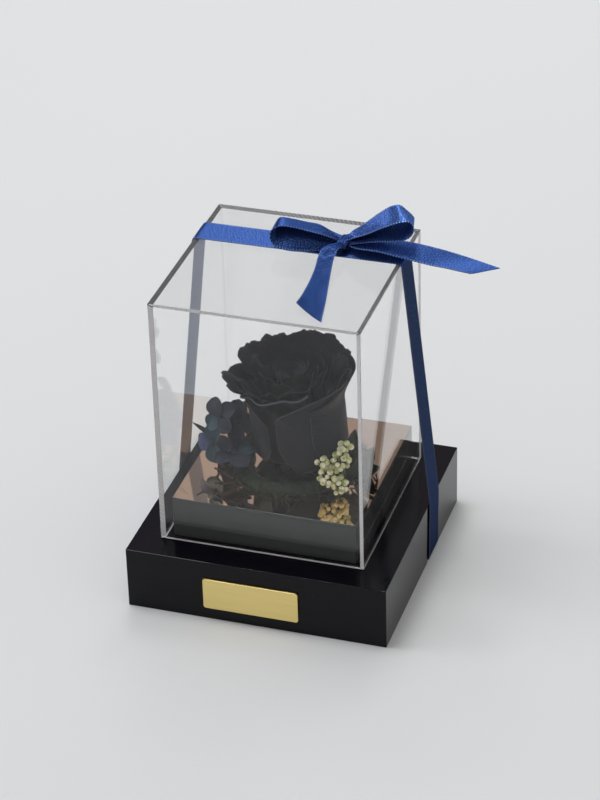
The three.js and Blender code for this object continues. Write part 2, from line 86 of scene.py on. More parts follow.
# meshes are put together in millimetres and written in metres
class MeshParts:
    def __init__(self):
        self.points, self.faces, self.uvs, self.slots = [], [], [], []

    def addFace(self, corners, uvs, slot):
        self.faces.append(corners)
        self.uvs.extend(uvs)
        self.slots.append(slot)

    def addSheet(self, pointAt, columns, rows, thickness, slot=0, uvSize=(1.0, 1.0), underSlot=None):
        # closed thin sheet on both sides of the surface pointAt(u, v)
        places = [(i, j) for j in range(rows + 1) for i in range(columns + 1)]
        grid = {(i, j): pointAt(i / columns, j / rows) for i, j in places}
        uv = [(i / columns * uvSize[0], j / rows * uvSize[1]) for i, j in places]
        normals = []
        for i, j in places:
            alongU = grid[min(i + 1, columns), j] - grid[max(i - 1, 0), j]
            alongV = grid[i, min(j + 1, rows)] - grid[i, max(j - 1, 0)]
            normal = alongU.cross(alongV)
            normals.append(normal.normalized() if normal.length > 1e-9 else Vector((0, 0, 1)))
        start = len(self.points)
        under = start + len(places)
        for side in (thickness / 2, -thickness / 2):
            self.points += [grid[place] + normal * side for place, normal in zip(places, normals)]

        def at(i, j):
            return j * (columns + 1) + i

        def quad(*corners):
            # each corner is a place in the grid and whether it is on the upper side
            isUnder = underSlot is not None and not any(top for p, top in corners)
            self.addFace([p + (start if top else under) for p, top in corners],
                         [uv[p] for p, top in corners], underSlot if isUnder else slot)

        for j in range(rows):
            for i in range(columns):
                a, b, c, d = at(i, j), at(i + 1, j), at(i + 1, j + 1), at(i, j + 1)
                quad((a, True), (b, True), (c, True), (d, True))
                quad((d, False), (c, False), (b, False), (a, False))
        # the narrow edge, once round the sheet
        rim = [at(i, 0) for i in range(columns)] + [at(columns, j) for j in range(rows)]
        rim += [at(i, rows) for i in range(columns, 0, -1)] + [at(0, j) for j in range(rows, 0, -1)]
        for a, b in zip(rim, rim[1:] + rim[:1]):
            quad((a, True), (a, False), (b, False), (b, True))

    def addTube(self, line, radiusAt, sides=8, slot=0):
        # closed round bar along a line of points
        start = len(self.points)
        last = len(line) - 1
        side = None
        for k, point in enumerate(line):
            ahead = (line[min(k + 1, last)] - line[max(k - 1, 0)]).normalized()
            if side is None:
                side = ahead.orthogonal().normalized()
            side = (side - ahead * side.dot(ahead)).normalized()
            other = ahead.cross(side)
            radius = radiusAt(k / last)
            for n in range(sides):
                a = math.tau * n / sides
                self.points.append(point + (side * math.cos(a) + other * math.sin(a)) * radius)
        for k in range(last):
            low, high = start + k * sides, start + (k + 1) * sides
            for n in range(sides):
                m = (n + 1) % sides
                self.addFace([low + n, low + m, high + m, high + n],
                             [(a / sides, b / 4) for a, b in ((n, k), (m, k), (m, k + 1), (n, k + 1))], slot)
        end = start + last * sides
        self.addFace([start + n for n in reversed(range(sides))], [(0, 0)] * sides, slot)
        self.addFace([end + n for n in range(sides)], [(0, 1)] * sides, slot)

    def addBall(self, centre, radius, axis, rings=10, sides=14, slot=0, shape=None):
        # round ball whose pole looks along axis; shape(polar, around) scales its radius
        start = len(self.points)
        turn = Vector((0, 0, 1)).rotation_difference(axis.normalized())

        def place(polar, around):
            r = radius * (shape(polar, around) if shape else 1.0)
            return centre + turn @ circlePoint(around, r * math.sin(polar), r * math.cos(polar))

        self.points.append(place(0.0, 0.0))
        for k in range(1, rings):
            self.points += [place(math.pi * k / rings, math.tau * n / sides) for n in range(sides)]
        self.points.append(place(math.pi, 0.0))
        end = len(self.points) - 1
        for n in range(sides):
            m = (n + 1) % sides
            left, right = n / sides, m / sides
            self.addFace([start, start + 1 + n, start + 1 + m], [(0.5, 1), (left, 1), (right, 1)], slot)
            for k in range(rings - 2):
                low, high = start + 1 + k * sides, start + 1 + (k + 1) * sides
                v0, v1 = 1 - (k + 1) / rings, 1 - (k + 2) / rings
                self.addFace([low + n, high + n, high + m, low + m],
                             [(left, v0), (left, v1), (right, v1), (right, v0)], slot)
            low = start + 1 + (rings - 2) * sides
            self.addFace([low + n, end, low + m], [(left, 0), (0.5, 0), (right, 0)], slot)

    def place(self, matrix):
        self.points = [matrix @ point for point in self.points]
        return self

    def mesh(self, name, sharpDegrees=55):
        made = bpy.data.meshes.new(name)
        made.from_pydata([point * mm for point in self.points], [], self.faces)
        layer = made.uv_layers.new(name="flat")
        layer.data.foreach_set("uv", [x for pair in self.uvs for x in pair])
        made.polygons.foreach_set("material_index", self.slots)
        made.shade_smooth()
        made.set_sharp_from_angle(angle=math.radians(sharpDegrees))
        made.validate()
        return made


def addPiece(name, mesh, materials, slot, replaces):
    piece = bpy.data.objects.new(name, mesh)
    bpy.context.scene.collection.objects.link(piece)
    for material in materials:
        piece.data.materials.append(material)
    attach(piece, "root")
    if replaces:
        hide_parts(*replaces)
    return piece


# materials: a new one, and a node with its sockets set or linked
def newMaterial(name, colour, roughness, sockets=None):
    material = bpy.data.materials.new(name)
    material.use_nodes = True
    shader = material.node_tree.nodes["Principled BSDF"]
    for socket, value in {"Base Color": (*colour, 1), "Roughness": roughness, **(sockets or {})}.items():
        shader.inputs[socket].default_value = value
    return material


def addNode(material, kind, inputs=None, **settings):
    tree = material.node_tree
    made = tree.nodes.new("ShaderNode" + kind)
    for key, value in settings.items():
        setattr(made, key, value)
    for key, value in (inputs or {}).items():
        if isinstance(value, bpy.types.NodeSocket):
            tree.links.new(value, made.inputs[key])
        else:
            made.inputs[key].default_value = value
    return made


def feed(material, socket, output):
    shader = material.node_tree.nodes["Principled BSDF"]
    material.node_tree.links.new(output, shader.inputs[socket])


def rampNode(material, factor, stops):
    made = addNode(material, "ValToRGB", {"Fac": factor})
    elements = made.color_ramp.elements
    while len(elements) < len(stops):
        elements.new(0.5)
    for element, (place, colour) in zip(elements, stops):
        element.position = place
        element.color = (*colour, 1.0)
    return made.outputs[0]


def grey(level):
    return (level, level, level)


def dimmed(colour, share):
    return [c * share for c in colour]


def rangeNode(material, value, low, high, toLow=0.0, toHigh=1.0):
    return addNode(material, "MapRange", {"Value": value, "From Min": low, "From Max": high,
                                          "To Min": toLow, "To Max": toHigh}).outputs[0]


def blendNode(material, factor, a, b):
    made = addNode(material, "Mix", {"Factor": factor, "A": a, "B": b}, data_type="RGBA")
    return made.outputs["Result"]


def flatPlace(material):
    # the mesh's flat coordinates: both together, the one across and the one along
    flat = addNode(material, "UVMap", uv_map="flat").outputs[0]
    parts = addNode(material, "SeparateXYZ", {0: flat})
    return flat, parts.outputs[0], parts.outputs[1]


def noiseNode(material, scale, detail=3.0, roughness=0.5, stretch=(1, 1, 1), on=None):
    # on the object's own coordinates where no others are given
    if on is None:
        on = addNode(material, "TexCoord").outputs["Object"]
    place = addNode(material, "Mapping", {"Vector": on, "Scale": stretch}).outputs[0]
    return addNode(material, "TexNoise", {"Vector": place, "Scale": scale, "Detail": detail,
                                          "Roughness": roughness}).outputs["Fac"]


def mathNode(material, operation, a, b=0.0):
    return addNode(material, "Math", {0: a, 1: b}, operation=operation).outputs[0]


def sineNode(material, value, length):
    return mathNode(material, "SINE", mathNode(material, "MULTIPLY", value, math.tau / length))


def fromMiddleNode(material, value, middle):
    return mathNode(material, "ABSOLUTE", mathNode(material, "SUBTRACT", value, middle))


def bumpNode(material, height, strength, distance, normal=None):
    inputs = {"Height": height, "Strength": strength, "Distance": distance}
    if normal is not None:
        inputs["Normal"] = normal
    return addNode(material, "Bump", inputs).outputs[0]


def mottledMaterial(name, pattern, tones, roughness, roughRange=None, bumps=None, sockets=None):
    # one noise pattern gives the colour, and the roughness and the bumps where they are asked for
    made = newMaterial(name, tones[-1][1], roughness, sockets)
    mottles = noiseNode(made, *pattern)
    feed(made, "Base Color", rampNode(made, mottles, tones))
    if roughRange:
        feed(made, "Roughness", rangeNode(made, mottles, 0, 1, *roughRange))
    if bumps:
        feed(made, "Normal", bumpNode(made, mottles, *bumps))
    return made


# the camera stands where the photo was taken from
cameraPlace = {
    "focalPixels": 2865.5,
    "imageHeightPixels": 800,
    "azimuth": 18.404,
    "elevation": 31.646,
    "roll": -1.658,
    "placeMm": (345.484, -1027.761, 749.937),
}


def makeCamera(place):
    a, e, c = (math.radians(place[key]) for key in ("azimuth", "elevation", "roll"))
    back = Vector((math.sin(a) * math.cos(e), -math.cos(a) * math.cos(e), math.sin(e)))
    right = (-back).cross(Vector((0, 0, 1))).normalized()
    up = right.cross(-back)
    right, up = right * math.cos(c) + up * math.sin(c), up * math.cos(c) - right * math.sin(c)
    data = bpy.data.cameras.new("photoCamera")
    data.sensor_width = 36
    data.lens = place["focalPixels"] * data.sensor_width / place["imageHeightPixels"]
    data.clip_start = 0.05
    camera = bpy.data.objects.new("photoCamera", data)
    turn = Matrix((right, up, back)).transposed().to_4x4()
    camera.matrix_world = Matrix.Translation(Vector(place["placeMm"]) * mm) @ turn
    bpy.context.scene.collection.objects.link(camera)
    bpy.context.scene.camera = camera


makeCamera(cameraPlace)

# a pale table, a lamp overhead, two behind for the satin, a bigger soft one from the left, and a soft sky
studio = {
    "tableSide": 8.0,
    "tableColour": (0.78, 0.80, 0.795),
    "tableRoughness": 0.6,
    "lamps": {
        "overheadLamp": {"place": (-0.8, 0.1, 3.6), "side": 1.2, "watts": 38.0},
        "backLamp": {"place": (-0.42, 0.95, 1.4), "side": 0.5, "watts": 2.8},
        "lowBackLamp": {"place": (0.0, 1.2, 0.9), "side": 0.3, "watts": 1.4},
        "leftLamp": {"place": (-3.2, -0.6, 1.7), "side": 1.4, "watts": 25.0},
    },
    "aim": Vector((0, 0, 0.08)),
    "skyLeft": (0.22, 0.19, 0.25),
    "skyRight": (0.46, 0.43, 0.42),
    "skyTop": (0.56, 0.57, 0.58),
    "fromLeftToRight": (-0.7, 0.3),
    "fromWallsToTop": (0.55, 0.95),
}


def makeStudio(look):
    half = look["tableSide"] / 2
    mesh = bpy.data.meshes.new("table")
    corners = [(-half, -half, 0), (half, -half, 0), (half, half, 0), (-half, half, 0)]
    mesh.from_pydata(corners, [], [(0, 1, 2, 3)])
    table = bpy.data.objects.new("table", mesh)
    bpy.context.scene.collection.objects.link(table)
    colour = look["tableColour"]
    tones = [(0.3, dimmed(colour, 0.985)), (0.7, colour)]
    mesh.materials.append(mottledMaterial("paleTable", (3.0, 2.0), tones, look["tableRoughness"]))

    for name, lamp in look["lamps"].items():
        data = bpy.data.lights.new(name, "AREA")
        data.size = lamp["side"]
        data.energy = lamp["watts"]
        made = bpy.data.objects.new(name, data)
        made.location = lamp["place"]
        made.visible_camera = False
        made.rotation_euler = (look["aim"] - Vector(lamp["place"])).to_track_quat("-Z", "Y").to_euler()
        bpy.context.scene.collection.objects.link(made)

    world = bpy.data.worlds.new("softSky")
    bpy.context.scene.world = world
    world.use_nodes = True
    direction = addNode(world, "TexCoord").outputs["Generated"]
    parts = addNode(world, "SeparateXYZ", {0: direction})
    across = rangeNode(world, parts.outputs[0], *look["fromLeftToRight"])
    walls = blendNode(world, across, (*look["skyLeft"], 1), (*look["skyRight"], 1))
    low, high = look["fromWallsToTop"]
    upward = addNode(world, "MapRange", {"Value": parts.outputs[2], "From Min": low, "From Max": high},
                     interpolation_type="SMOOTHSTEP").outputs[0]
    sky = blendNode(world, upward, walls, (*look["skyTop"], 1))
    world.node_tree.links.new(sky, world.node_tree.nodes["Background"].inputs["Color"])


makeStudio(studio)
bpy.context.scene.view_settings.view_transform = "Standard"
print("camera, table and light set")


# case: black base and plinth, copper mirror, clear cover and a bare gold plate
caseLook = {
    "edge": 0.25,
    "plinthEdge": 0.2,
    "coverWall": 2.0,
    "coverEdge": 0.22,
    "plateCorner": 1.2,
    "plateEdge": 0.18,
    "channelDepth": 1.0,
    "channelGap": 1.25,
    "blackColour": (0.002, 0.002, 0.004),
    # the plinth is black acrylic like the base; its dark grey is painted reflection, the haze of the cover's
    # front wall
    "plinthPaintedReflectionColour": (0.062, 0.067, 0.065),
    "mirrorColour": (0.94, 0.70, 0.48),
    "coverIor": 1.355,
    "coverLetsThrough": 0.96,
    "seamThickness": 0.12,
    "seamAcross": (0.04, 0.93),
    "seamAlong": (0.003, 0.997),
    "seamStroke": 1.7,
    "sawnStroke": 1.19,
    # how light each joint's glue looks, from darkest to lightest: painted light and shade
    "seamPaintedDarkest": (0.12, 0.20, 0.30),
    "seamPaintedMiddle": (0.30, 0.44, 0.56),
    "seamPaintedLightest": (0.82, 0.92, 0.97),
    "goldColour": (0.92, 0.74, 0.30),
}


def roundEdges(mesh, width, isEdge=None):
    work = bmesh.new()
    work.from_mesh(mesh)
    bmesh.ops.recalc_face_normals(work, faces=work.faces)
    edges = [e for e in work.edges if e.calc_face_angle(0) > 0.5 and (isEdge is None or isEdge(e))]
    bmesh.ops.bevel(work, geom=edges, offset=width * mm, segments=2, profile=0.5, affect="EDGES")
    work.to_mesh(mesh)
    work.free()
    return mesh


def prism(name, outline, pointAt, low, high, edge):
    # outline is drawn in two of the directions and stretched along the third
    count = len(outline)
    points = [pointAt(a, b, depth) * mm for depth in (low, high) for a, b in outline]
    faces = [tuple(reversed(range(count))), tuple(range(count, 2 * count))]
    faces += [(k, (k + 1) % count, count + (k + 1) % count, count + k) for k in range(count)]
    mesh = bpy.data.meshes.new(name)
    mesh.from_pydata(points, [], faces)
    return roundEdges(mesh, edge)


def roundedOutline(low, high, corner, steps=6):
    outline = []
    corners = ((high[0], high[1], 0), (low[0], high[1], 90), (low[0], low[1], 180), (high[0], low[1], 270))
    for x, y, start in corners:
        cx = x - corner if x == high[0] else x + corner
        cy = y - corner if y == high[1] else y + corner
        for k in range(steps + 1):
            a = math.radians(start + 90 * k / steps)
            outline.append((cx + corner * math.cos(a), cy + corner * math.sin(a)))
    return outline


def blackGloss(name, colour):
    made = newMaterial(name, colour, 0.08, {"IOR": 1.3})
    feed(made, "Roughness", rangeNode(made, noiseNode(made, 28, 4, 0.6), 0.35, 0.7, 0.05, 0.14))
    place = addNode(made, "TexCoord").outputs["Object"]
    specks = addNode(made, "TexVoronoi", {"Vector": place, "Scale": 260}).outputs["Distance"]
    feed(made, "Base Color", rampNode(made, specks, [(0.0, grey(0.05)), (0.09, colour)]))
    feed(made, "Normal", bumpNode(made, noiseNode(made, 9, 1), 0.05, 0.0006))
    return made


def copperMirror(look):
    colour = look["mirrorColour"]
    tones = [(0.35, dimmed(colour, 0.94)), (0.65, colour)]
    return mottledMaterial("copperMirror", (22, 3), tones, 0.03, (0.01, 0.06), sockets={"Metallic": 1})


def clearAcrylic(look):
    made = newMaterial("clearAcrylic", (0.985, 0.99, 0.99), 0.0,
                       {"Transmission Weight": 1, "IOR": look["coverIor"]})
    feed(made, "Normal", bumpNode(made, noiseNode(made, 14, 1), 0.03, 0.0004))
    # light from the lamps and the sky goes straight through the thin walls
    tree = made.node_tree
    ray = addNode(made, "LightPath").outputs
    straight = mathNode(made, "MAXIMUM", ray["Is Shadow Ray"], ray["Is Diffuse Ray"])
    clear = addNode(made, "BsdfTransparent", {"Color": (*grey(look["coverLetsThrough"]), 1)})
    glass = tree.nodes["Principled BSDF"]
    both = addNode(made, "MixShader", {0: straight, 1: glass.outputs[0], 2: clear.outputs[0]})
    tree.links.new(both.outputs[0], tree.nodes["Material Output"].inputs["Surface"])
    return made


def strokeWaves(material, on, turn, length, inputs):
    # slanted strokes, length apart
    turned = addNode(material, "Mapping", {"Vector": on, "Rotation": (0, 0, turn)}).outputs[0]
    return addNode(material, "TexWave", {"Vector": turned, "Scale": math.tau / 20 / length,
                                         "Detail": 2, **inputs}).outputs["Fac"]


def seamGlue(name, tones, look):
    # glued joints: strips with small bubbles in slanted rows, like a twisted cord
    made = newMaterial(name, grey(tones[1]), 0.45, {"Transmission Weight": 0.3, "IOR": look["coverIor"]})
    flat = addNode(made, "UVMap", uv_map="flat").outputs[0]
    rows = strokeWaves(made, flat, 0.9, look["seamStroke"], {"Distortion": 2.5, "Detail Scale": 1.2})
    patches = noiseNode(made, 260, 4, 0.6)
    mixed = mathNode(made, "ADD", mathNode(made, "MULTIPLY", rows, 0.45),
                     mathNode(made, "MULTIPLY", patches, 0.55))
    stops = [(place, grey(tone)) for place, tone in zip((0.3, 0.5, 0.7), tones)]
    feed(made, "Base Color", rampNode(made, mixed, stops))
    feed(made, "Normal", bumpNode(made, rows, 0.3, 0.0002))
    return made


def acrylicEdge(look):
    # the sawn rim at the foot is frosted in short slanted strokes
    made = newMaterial("acrylicEdge", grey(0.9), 0.4,
                       {"Transmission Weight": 0.25, "IOR": look["coverIor"]})
    place = addNode(made, "TexCoord").outputs["Object"]
    strokes = strokeWaves(made, place, math.pi / 4, look["sawnStroke"] * mm, {"Distortion": 1.5})
    feed(made, "Base Color", rampNode(made, strokes, [(0.3, grey(0.06)), (0.7, grey(1.0))]))
    feed(made, "Normal", bumpNode(made, strokes, 0.4, 0.0003))
    return made


def brushedGold(look):
    # brushed along the plate: a fine pattern drawn out sideways
    colour = look["goldColour"]
    tones = [(0.3, dimmed(colour, 0.92)), (0.7, colour)]
    return mottledMaterial("brushedGold", (2600, 3, 0.6, (0.012, 1, 1)), tones, 0.3, (0.26, 0.38),
                           (0.25, 0.0001), {"Metallic": 1})


def makeCase(look):
    black = blackGloss("blackGloss", look["blackColour"])
    # the plinth's gloss is lightened to dark grey, painted reflection; the mirror plate's sides share it
    plinthPaintedReflection = blackGloss("plinthGlossPaintedReflection", look["plinthPaintedReflectionColour"])
    low, high = boxMm("base")
    channelLow, channelHigh = (c.y for c in boxMm("ribbon_under"))
    channelLow, channelHigh = channelLow - look["channelGap"], channelHigh + look["channelGap"]
    outline = [(low.y, low.z), (channelLow, low.z), (channelLow, look["channelDepth"]),
               (channelHigh, look["channelDepth"]), (channelHigh, low.z),
               (high.y, low.z), (high.y, high.z), (low.y, high.z)]
    base = prism("blackBase", outline, lambda y, z, x: Vector((x, y, z)), low.x, high.x, look["edge"])
    addPiece("blackBase", base, [black], "black_acrylic", ["base"])

    for name, node, finishes, slot in (
            ("blackPlinth", "plinth", [plinthPaintedReflection], "black_acrylic"),
            ("copperMirror", "mirror_plate", [copperMirror(look), plinthPaintedReflection], "copper_mirror")):
        low, high = boxMm(node)
        square = [(low.x, low.y), (high.x, low.y), (high.x, high.y), (low.x, high.y)]
        block = prism(name, square, lambda x, y, z: Vector((x, y, z)), low.z, high.z, look["plinthEdge"])
        for face in block.polygons:
            face.material_index = 0 if face.normal.z > 0.99 else len(finishes) - 1
        addPiece(name, block, finishes, slot, [node])

    low, high = boxMm("name_plate")
    outline = roundedOutline((low.x, low.z), (high.x, high.z), look["plateCorner"])
    plate = prism("goldPlate", outline, lambda x, z, y: Vector((x, y, z)), low.y, high.y, look["plateEdge"])
    addPiece("goldPlate", plate, [brushedGold(look)], "gold_plate", ["name_plate"])

    low, high = boxMm("cover")
    wall = look["coverWall"]
    corners = []
    for inset in (0, wall):
        for z in (low.z, high.z - inset):
            corners += [(low.x + inset, low.y + inset, z), (high.x - inset, low.y + inset, z),
                        (high.x - inset, high.y - inset, z), (low.x + inset, high.y - inset, z)]
    faces = [(4, 5, 6, 7), (12, 13, 14, 15)]
    for k in range(4):
        m = (k + 1) % 4
        faces += [(k, m, 4 + m, 4 + k), (8 + k, 8 + m, 12 + m, 12 + k), (k, m, 8 + m, 8 + k)]
    mesh = bpy.data.meshes.new("clearCover")
    mesh.from_pydata([Vector(c) * mm for c in corners], [], faces)
    roundEdges(mesh, look["coverEdge"], lambda e: all(v.index < 8 for v in e.verts))
    for face in mesh.polygons:
        if face.normal.z < -0.3 and face.center.z < (low.z + 1) * mm:
            face.material_index = 1
    addPiece("clearCover", mesh, [clearAcrylic(look), acrylicEdge(look)], "clear_acrylic", ["cover"])

    # the panels meet in mitred joints, a strip of glue from each inner corner to the outer one
    seams = MeshParts()
    outer, inner = [Vector(c) for c in corners[:8]], [Vector(c) for c in corners[8:]]
    # the four upright joints and the front top one get the lightest tone, the back one the middle tone, the
    # side ones the darkest: the glue strips are real, how light each looks is painted light and shade
    kinds = ["seamPaintedDarkest", "seamPaintedMiddle", "seamPaintedLightest"]
    edges = [(k, 4 + k, 2) for k in range(4)]
    edges += [(4 + k, 4 + (k + 1) % 4, (2, 0, 1, 0)[k]) for k in range(4)]
    for a, b, finish in edges:
        def seamPoint(u, v, a=a, b=b):
            share = mix(*look["seamAcross"], u)
            ends = mix(inner[a], outer[a], share), mix(inner[b], outer[b], share)
            return ends[0].lerp(ends[1], mix(*look["seamAlong"], v))

        size = (wall * 1.4, (outer[b] - outer[a]).length)
        seams.addSheet(seamPoint, 3, 60, look["seamThickness"], finish, size)
    finishes = [seamGlue(name, look[name], look) for name in kinds]
    addPiece("coverSeams", seams.mesh("coverSeams"), finishes, "clear_acrylic", [])


makeCase(caseLook)
print("case made")


# ribbon: one satin strip round the box, and the bow tied on top
ribbonLook = {
    "thickness": 0.32,
    "baseEdgeY": 17.2,
    "cornerOut": 0.8,
    "skin": 0.5,
    "step": 0.8,
    "colour": (0.042, 0.100, 0.34),
    "shade": (0.014, 0.038, 0.17),
    "paintedGlint": (0.17, 0.29, 0.66),
    "stitch": (0.26, 0.38, 0.74),
    "edgeTint": (0.20, 0.34, 0.62),
    # the darker copy on the strips' inner faces: painted shade
    "reverseTone": (0.85, 0.85, 0.85),
    # the brighter copy on the right loop's outer face: painted light
    "brightTone": (2.1, 2.0, 1.8),
    # the darker, greyer copy on the right side run: painted shade
    "paintedShadeTone": (0.86, 0.58, 0.37),
    "unevenHeight": 0.06,
    "unevenRun": 0.12,
    "weftLength": 0.42,
    "stitchLength": 1.25,
    "middle": 7.5,
    "selvedge": (6.55, 6.9),
    "knotX": 20.3,
}


def satinRibbon(look, name, tone=(1, 1, 1)):
    # tone scales the colours, for the copies with painted light or shade
    keys = ("shade", "colour", "paintedGlint", "stitch")
    shade, colour, paintedGlint, stitchColour = ([c * t for c, t in zip(look[key], tone)] for key in keys)
    made = newMaterial(name, colour, 0.5, {
        "Metallic": 0.85, "IOR": 1.4, "Specular IOR Level": 0.2 * tone[1],
        "Specular Tint": (*look["edgeTint"], 1), "Anisotropic": 1.0})
    flat, across, along = flatPlace(made)
    # glints in the weave about half a millimetre long, painted into the colour between darker specks, and
    # weft lines across the strip
    grain = noiseNode(made, 1.3, 2, 0.8, (1.5, 1.0, 1), flat)
    weft = sineNode(made, along, look["weftLength"])
    # selvedge: a raised row of small stitches along each edge
    edge = rangeNode(made, fromMiddleNode(made, across, look["middle"]), *look["selvedge"])
    stitches = mathNode(made, "MULTIPLY", edge, sineNode(made, along, look["stitchLength"]))
    # painted glints and darker specks in the colour
    paintedGlintColour = rampNode(made, grain, [(0.36, shade), (0.52, colour), (0.68, paintedGlint)])
    bright = rangeNode(made, stitches, 0.1, 0.9)
    feed(made, "Base Color", blendNode(made, bright, paintedGlintColour, (*stitchColour, 1)))
    feed(made, "Roughness", rangeNode(made, grain, 0.3, 0.7, 0.56, 0.42))
    weave = bumpNode(made, weft, 0.08, 0.00004)
    weave = bumpNode(made, grain, 0.35, 0.00008, weave)
    feed(made, "Normal", bumpNode(made, stitches, 0.35, 0.00015, weave))
    feed(made, "Tangent", addNode(made, "Tangent", direction_type="UV_MAP", uv_map="flat").outputs[0])
    return made


def lengthOf(line):
    return sum((b - a).length for a, b in zip(line, line[1:]))


def evenSteps(line, count):
    # points at equal distances along the line
    total, made, done, k = lengthOf(line), [line[0]], 0.0, 1
    for n in range(1, count):
        target = total * n / count
        while done + (line[k] - line[k - 1]).length < target:
            done += (line[k] - line[k - 1]).length
            k += 1
        made.append(line[k - 1].lerp(line[k], (target - done) / (line[k] - line[k - 1]).length))
    return made + [line[-1]]


def ribbonBand(look, satins):
    baseLow, baseHigh = boxMm("base")
    coverLow, coverHigh = boxMm("cover")
    overLow, overHigh = boxMm("ribbon_over_top")
    underLow, underHigh = boxMm("ribbon_under")
    width = overHigh.y - overLow.y
    top, under = (overLow + overHigh) / 2, (underLow + underHigh) / 2

    def side(coverX, baseX, sign):
        # over the cover's edge, down to the base's edge, down the base and round under it
        out = look["cornerOut"]
        wallX = baseX + sign * look["skin"]
        return [Vector((coverX - sign, top.y, top.z)),
                Vector((coverX + sign * out * 0.7, top.y, top.z - 0.15)),
                Vector((coverX + sign * out, top.y, top.z - 1.0)),
                Vector((wallX - sign * 0.1, look["baseEdgeY"], baseHigh.z + 0.6)),
                Vector((wallX, look["baseEdgeY"], baseHigh.z - 1.0)),
                Vector((wallX, under.y, under.z + 0.9)),
                Vector((wallX - sign * 0.7, under.y, under.z)),
                Vector((baseX - sign * 2, under.y, under.z))]

    knot = Vector((look["knotX"], top.y, top.z))
    corners = [knot, *side(coverHigh.x, baseHigh.x, 1), *reversed(side(coverLow.x, baseLow.x, -1)), knot]
    length = lengthOf(corners)
    rows = int(length / look["step"])
    line = evenSteps(corners, rows)
    for softening in range(2):
        inner = [(a + b * 2 + c) / 4 for a, b, c in zip(line, line[1:], line[2:])]
        line = [line[0], *inner, line[-1]]

    def bandPoint(u, v):
        point = line[min(int(round(v * rows)), rows)]
        aside = (u - 0.5) * width + look["unevenRun"] * wobble(v * length / 30, 7.0)
        lift = look["unevenHeight"] * wobble(v * length / 9, u * 1.3, 3.1) if point.z > baseHigh.z else 0
        return point + Vector((0, aside, lift))

    parts = MeshParts()
    parts.addSheet(bandPoint, 4, rows, look["thickness"], uvSize=(width, length))
    # from its fold at the cover's edge on, the run down the right side takes a darker, greyer copy of the
    # satin: painted shade
    for k, face in enumerate(parts.faces):
        if all(parts.points[p].x > coverHigh.x and parts.points[p].z < coverHigh.z - 0.4 for p in face):
            parts.slots[k] = 1
    band = addPiece("ribbonBand", parts.mesh("ribbonBand"), satins, "satin_ribbon",
                    ["ribbon_over_top", "ribbon_side_left", "ribbon_side_right", "ribbon_under"])
    print("ribbon band", round(length), "mm long")
    return width


# each station along a strip: its front edge and its back edge, how far it bulges, how deep its crease is
# and how strong its folds are
leftLoopStations = [
    ((17.8, 16.2, 156.0), (17.8, 21.6, 155.4), 0.0, 0.0, 1.0),
    ((14.5, 13.6, 158.6), (12.0, 24.0, 155.8), 0.4, 0.0, 0.7),
    ((10.5, 12.4, 160.3), (6.5, 26.0, 157.5), 0.3, 0.0, 0.3),
    ((4.5, 12.0, 161.5), (0.5, 26.0, 158.0), 0.2, 0.0, 0.1),
    ((-2.0, 12.0, 162.4), (-6.0, 26.0, 158.6), 0.0, 0.0, 0.0),
    ((-7.5, 11.6, 162.3), (-10.5, 26.0, 158.9), 0.0, 0.0, 0.0),
    ((-10.9, 11.0, 160.2), (-12.6, 26.0, 158.0), 0.0, 0.0, 0.0),
    ((-11.6, 10.6, 157.2), (-12.8, 25.5, 157.0), 0.0, 0.3, 0.0),
    ((-10.4, 10.0, 154.2), (-10.8, 24.8, 156.4), 0.0, 1.4, 0.0),
    ((-6.6, 9.8, 152.1), (-6.8, 24.2, 156.2), 0.0, 3.2, 0.0),
    ((-1.0, 10.2, 151.4), (-1.0, 24.5, 156.4), 0.0, 3.8, 0.0),
    ((5.0, 11.8, 151.4), (6.0, 24.6, 156.2), 0.0, 3.4, 0.15),
    ((11.0, 13.8, 151.8), (12.5, 23.5, 155.2), 0.0, 1.4, 0.5),
    ((17.8, 16.4, 153.2), (17.8, 21.8, 154.0), 0.0, 0.0, 0.8),
]
rightLoopStations = [
    ((21.0, 16.2, 156.4), (20.8, 21.8, 155.6), 0.0, 0.0, 1.0),
    ((25.5, 13.4, 159.8), (24.0, 25.0, 158.6), 0.3, 0.0, 0.8),
    ((31.3, 13.0, 162.6), (29.0, 26.5, 162.8), 0.3, 0.8, 0.35),
    ((36.7, 13.0, 165.8), (33.5, 26.8, 166.7), 0.3, 1.5, 0.1),
    ((42.0, 13.0, 168.6), (38.2, 26.8, 170.2), 0.2, 0.5, 0.0),
    ((47.0, 13.0, 170.8), (42.3, 26.8, 171.7), 0.0, 0.0, 0.0),
    ((50.8, 13.2, 171.2), (45.6, 26.6, 169.8), 0.0, 0.0, 0.0),
    ((52.6, 12.8, 168.6), (48.4, 26.4, 167.4), 0.0, 0.0, 0.0),
    ((51.6, 12.8, 165.0), (49.0, 26.2, 165.8), 0.0, 0.0, 0.0),
    ((48.0, 12.8, 162.2), (46.6, 26.0, 164.6), 0.0, 0.0, 0.0),
    ((42.0, 12.8, 160.8), (41.0, 26.0, 163.2), 0.2, 0.0, 0.0),
    ((36.0, 12.8, 160.0), (34.0, 25.5, 161.6), 0.3, 0.0, 0.15),
    ((28.5, 13.5, 158.0), (28.0, 24.0, 158.4), 0.3, 0.0, 0.5),
    ((21.5, 16.2, 154.8), (21.3, 21.8, 154.6), 0.0, 0.0, 0.9),
]
